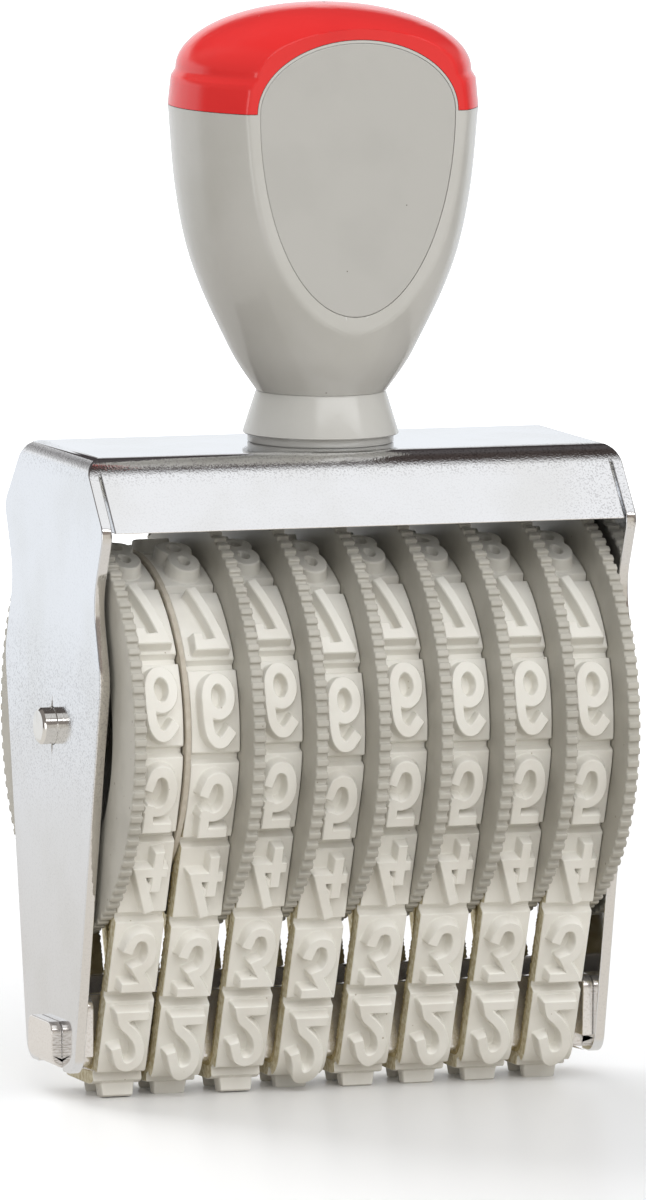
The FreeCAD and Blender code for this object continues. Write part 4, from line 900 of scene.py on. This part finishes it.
def handle_form(name):
    """The whole outside of the handle, from the neck to the top of the cap."""
    rows = smooth_line([(NECK_RADIUS + growth * (HANDLE_RADIUS - NECK_RADIUS),
                         NECK_LEVEL + rise * (SEAM_LEVEL - NECK_LEVEL)) for rise, growth in PEAR_SHARES],
                       PEAR_STEPS)
    rows = [tuple(row) for row in rows]
    rows += [(HANDLE_RADIUS - 0.1, SEAM_LEVEL + 1), (CAP_STEP_RADIUS + 0.1, CAP_STEP_LEVEL - 1),
             (CAP_STEP_RADIUS, CAP_STEP_LEVEL - 0.15), (CAP_STEP_RADIUS - 0.12, CAP_STEP_LEVEL + 0.02),
             (DOME_RADIUS + 0.1, DOME_LEVEL - 0.25), (DOME_RADIUS, DOME_LEVEL)]
    for step in range(1, DOME_STEPS):
        angle = math.radians(90 * step / DOME_STEPS)
        rows.append((DOME_RADIUS * math.cos(angle),
                     DOME_LEVEL + (CAP_TOP_LEVEL - DOME_LEVEL) * math.sin(angle)))
    rows.append((0.25, CAP_TOP_LEVEL))
    return turned(name, rows, flat=HANDLE_FLAT)


def zone_arches(name, widening):
    """The two arches, front and back, that the body fills in the cap."""
    outline = egg(ARCH_HALF_WIDTH + widening, ARCH_RISE + widening, ARCH_DROP)
    return [prism(f"{name}_front", outline, -HANDLE_FLAT - PAST, -HANDLE_FLAT + ARCH_DEPTH + widening),
            prism(f"{name}_back", outline, HANDLE_FLAT - ARCH_DEPTH - widening, HANDLE_FLAT + PAST)]


# Blocks a little larger than the handle keep what lies under or over the seam
BLOCK_REACH, BLOCK_FOOT, BLOCK_TOP = 30, 80, 160
half_gap = SEAM_GAP / 2
body_zone = carved(box("body_zone", (-BLOCK_REACH, -BLOCK_REACH, BLOCK_FOOT),
                       (BLOCK_REACH, BLOCK_REACH, SEAM_LEVEL - half_gap)),
                   *(("UNION", arch) for arch in zone_arches("body_arch", -half_gap)))
seat_reaches = (reach + PANEL_PLAY for reach in (PANEL_HALF_WIDTH, PANEL_RISE, PANEL_DROP))
panel_seat = prism("panel_seat", egg(*seat_reaches), -HANDLE_FLAT - PAST, -HANDLE_FLAT + PANEL_DEPTH)
handle_body = carved(handle_form("handle_grey_body"), ("INTERSECT", body_zone), ("DIFFERENCE", panel_seat))
cap_zone = carved(box("cap_zone", (-BLOCK_REACH, -BLOCK_REACH, SEAM_LEVEL + half_gap),
                      (BLOCK_REACH, BLOCK_REACH, BLOCK_TOP)),
                  *(("DIFFERENCE", arch) for arch in zone_arches("cap_arch", half_gap)))
handle_cap = carved(handle_form("handle_red_cap"), ("INTERSECT", cap_zone))


def gloss_plastic(name, tones):
    """Glossy moulded plastic with a faint ripple and very little dust, which is dull."""
    material, tree, surface = new_finish(name, IOR=1.5, Specular_IOR_Level=0.5)
    skin, dust = moulded(tree, surface, tones, grain=2.2, patch=16, speck=0.8, amount=0.005, ripple=0.03)
    polish = reckon(tree, "MULTIPLY_ADD", skin["Dullness"], 0.06, 0.09)
    feed(tree, surface.inputs["Roughness"], reckon(tree, "ADD", polish, product(tree, dust, 0.3)))
    return material


def softened(piece, width, angle):
    """Rounds the edges of a piece that are sharper than an angle in degrees."""
    rounding = piece.modifiers.new("softened_edges", "BEVEL")
    rounding.width, rounding.segments = width, 2
    rounding.limit_method, rounding.angle_limit = "ANGLE", math.radians(angle)


grey_gloss = gloss_plastic("grey_gloss", [(191, 190, 186), (186, 185, 180), (134, 130, 122)])
red_gloss = gloss_plastic("red_gloss", [(220, 48, 47), (214, 43, 43), (160, 58, 56)])
finish_piece(handle_body, grey_gloss, "grey_gloss", "handle_body")
finish_piece(handle_cap, red_gloss, "red_gloss", "handle_cap")
for piece in (handle_body, handle_cap):
    softened(piece, 0.14 * MM, 50)

satin_grey, tree, surface = new_finish("panel_grey", Roughness=0.3, Specular_IOR_Level=0.4)
moulded(tree, surface, [(180, 179, 175), (177, 176, 172), (124, 120, 113)],
        grain=0.2, patch=9, speck=0.7, amount=0.004, ripple=0.004)
panel = prism("plain_label_panel", egg(PANEL_HALF_WIDTH, PANEL_RISE, PANEL_DROP), -HANDLE_FLAT,
              -HANDLE_FLAT + PANEL_DEPTH)
softened(panel, 0.12 * MM, 40)
finish_piece(panel, satin_grey, "panel_grey", "label_panel", angle=30)


# Collar: a separate grey moulding between the frame and the handle's neck, of the same glossy plastic.
# It is a cone on a short straight foot, bored through for the screw.

TOP_LEVEL, COLLAR_BORE = 87.6, 2.7
COLLAR_RADIUS, COLLAR_FOOT_RADIUS, COLLAR_FOOT_RISE = 10.6, 9.9, 1.2
foot_top = TOP_LEVEL + COLLAR_FOOT_RISE
collar = turned("handle_cone_collar", [
    (COLLAR_BORE, TOP_LEVEL), (COLLAR_FOOT_RADIUS - 0.15, TOP_LEVEL),
    (COLLAR_FOOT_RADIUS, TOP_LEVEL + 0.15), (COLLAR_FOOT_RADIUS, foot_top),
    (COLLAR_RADIUS - 0.1, foot_top), (COLLAR_RADIUS, foot_top + 0.12),
    (COLLAR_RADIUS - 0.06, foot_top + 0.3), (NECK_RADIUS + 0.1, NECK_LEVEL - 0.3),
    (NECK_RADIUS, NECK_LEVEL - 0.12),
    (NECK_RADIUS - 0.15, NECK_LEVEL), (COLLAR_BORE, NECK_LEVEL)], steps=128)
finish_piece(collar, grey_gloss, "grey_gloss", "handle_collar", angle=50)
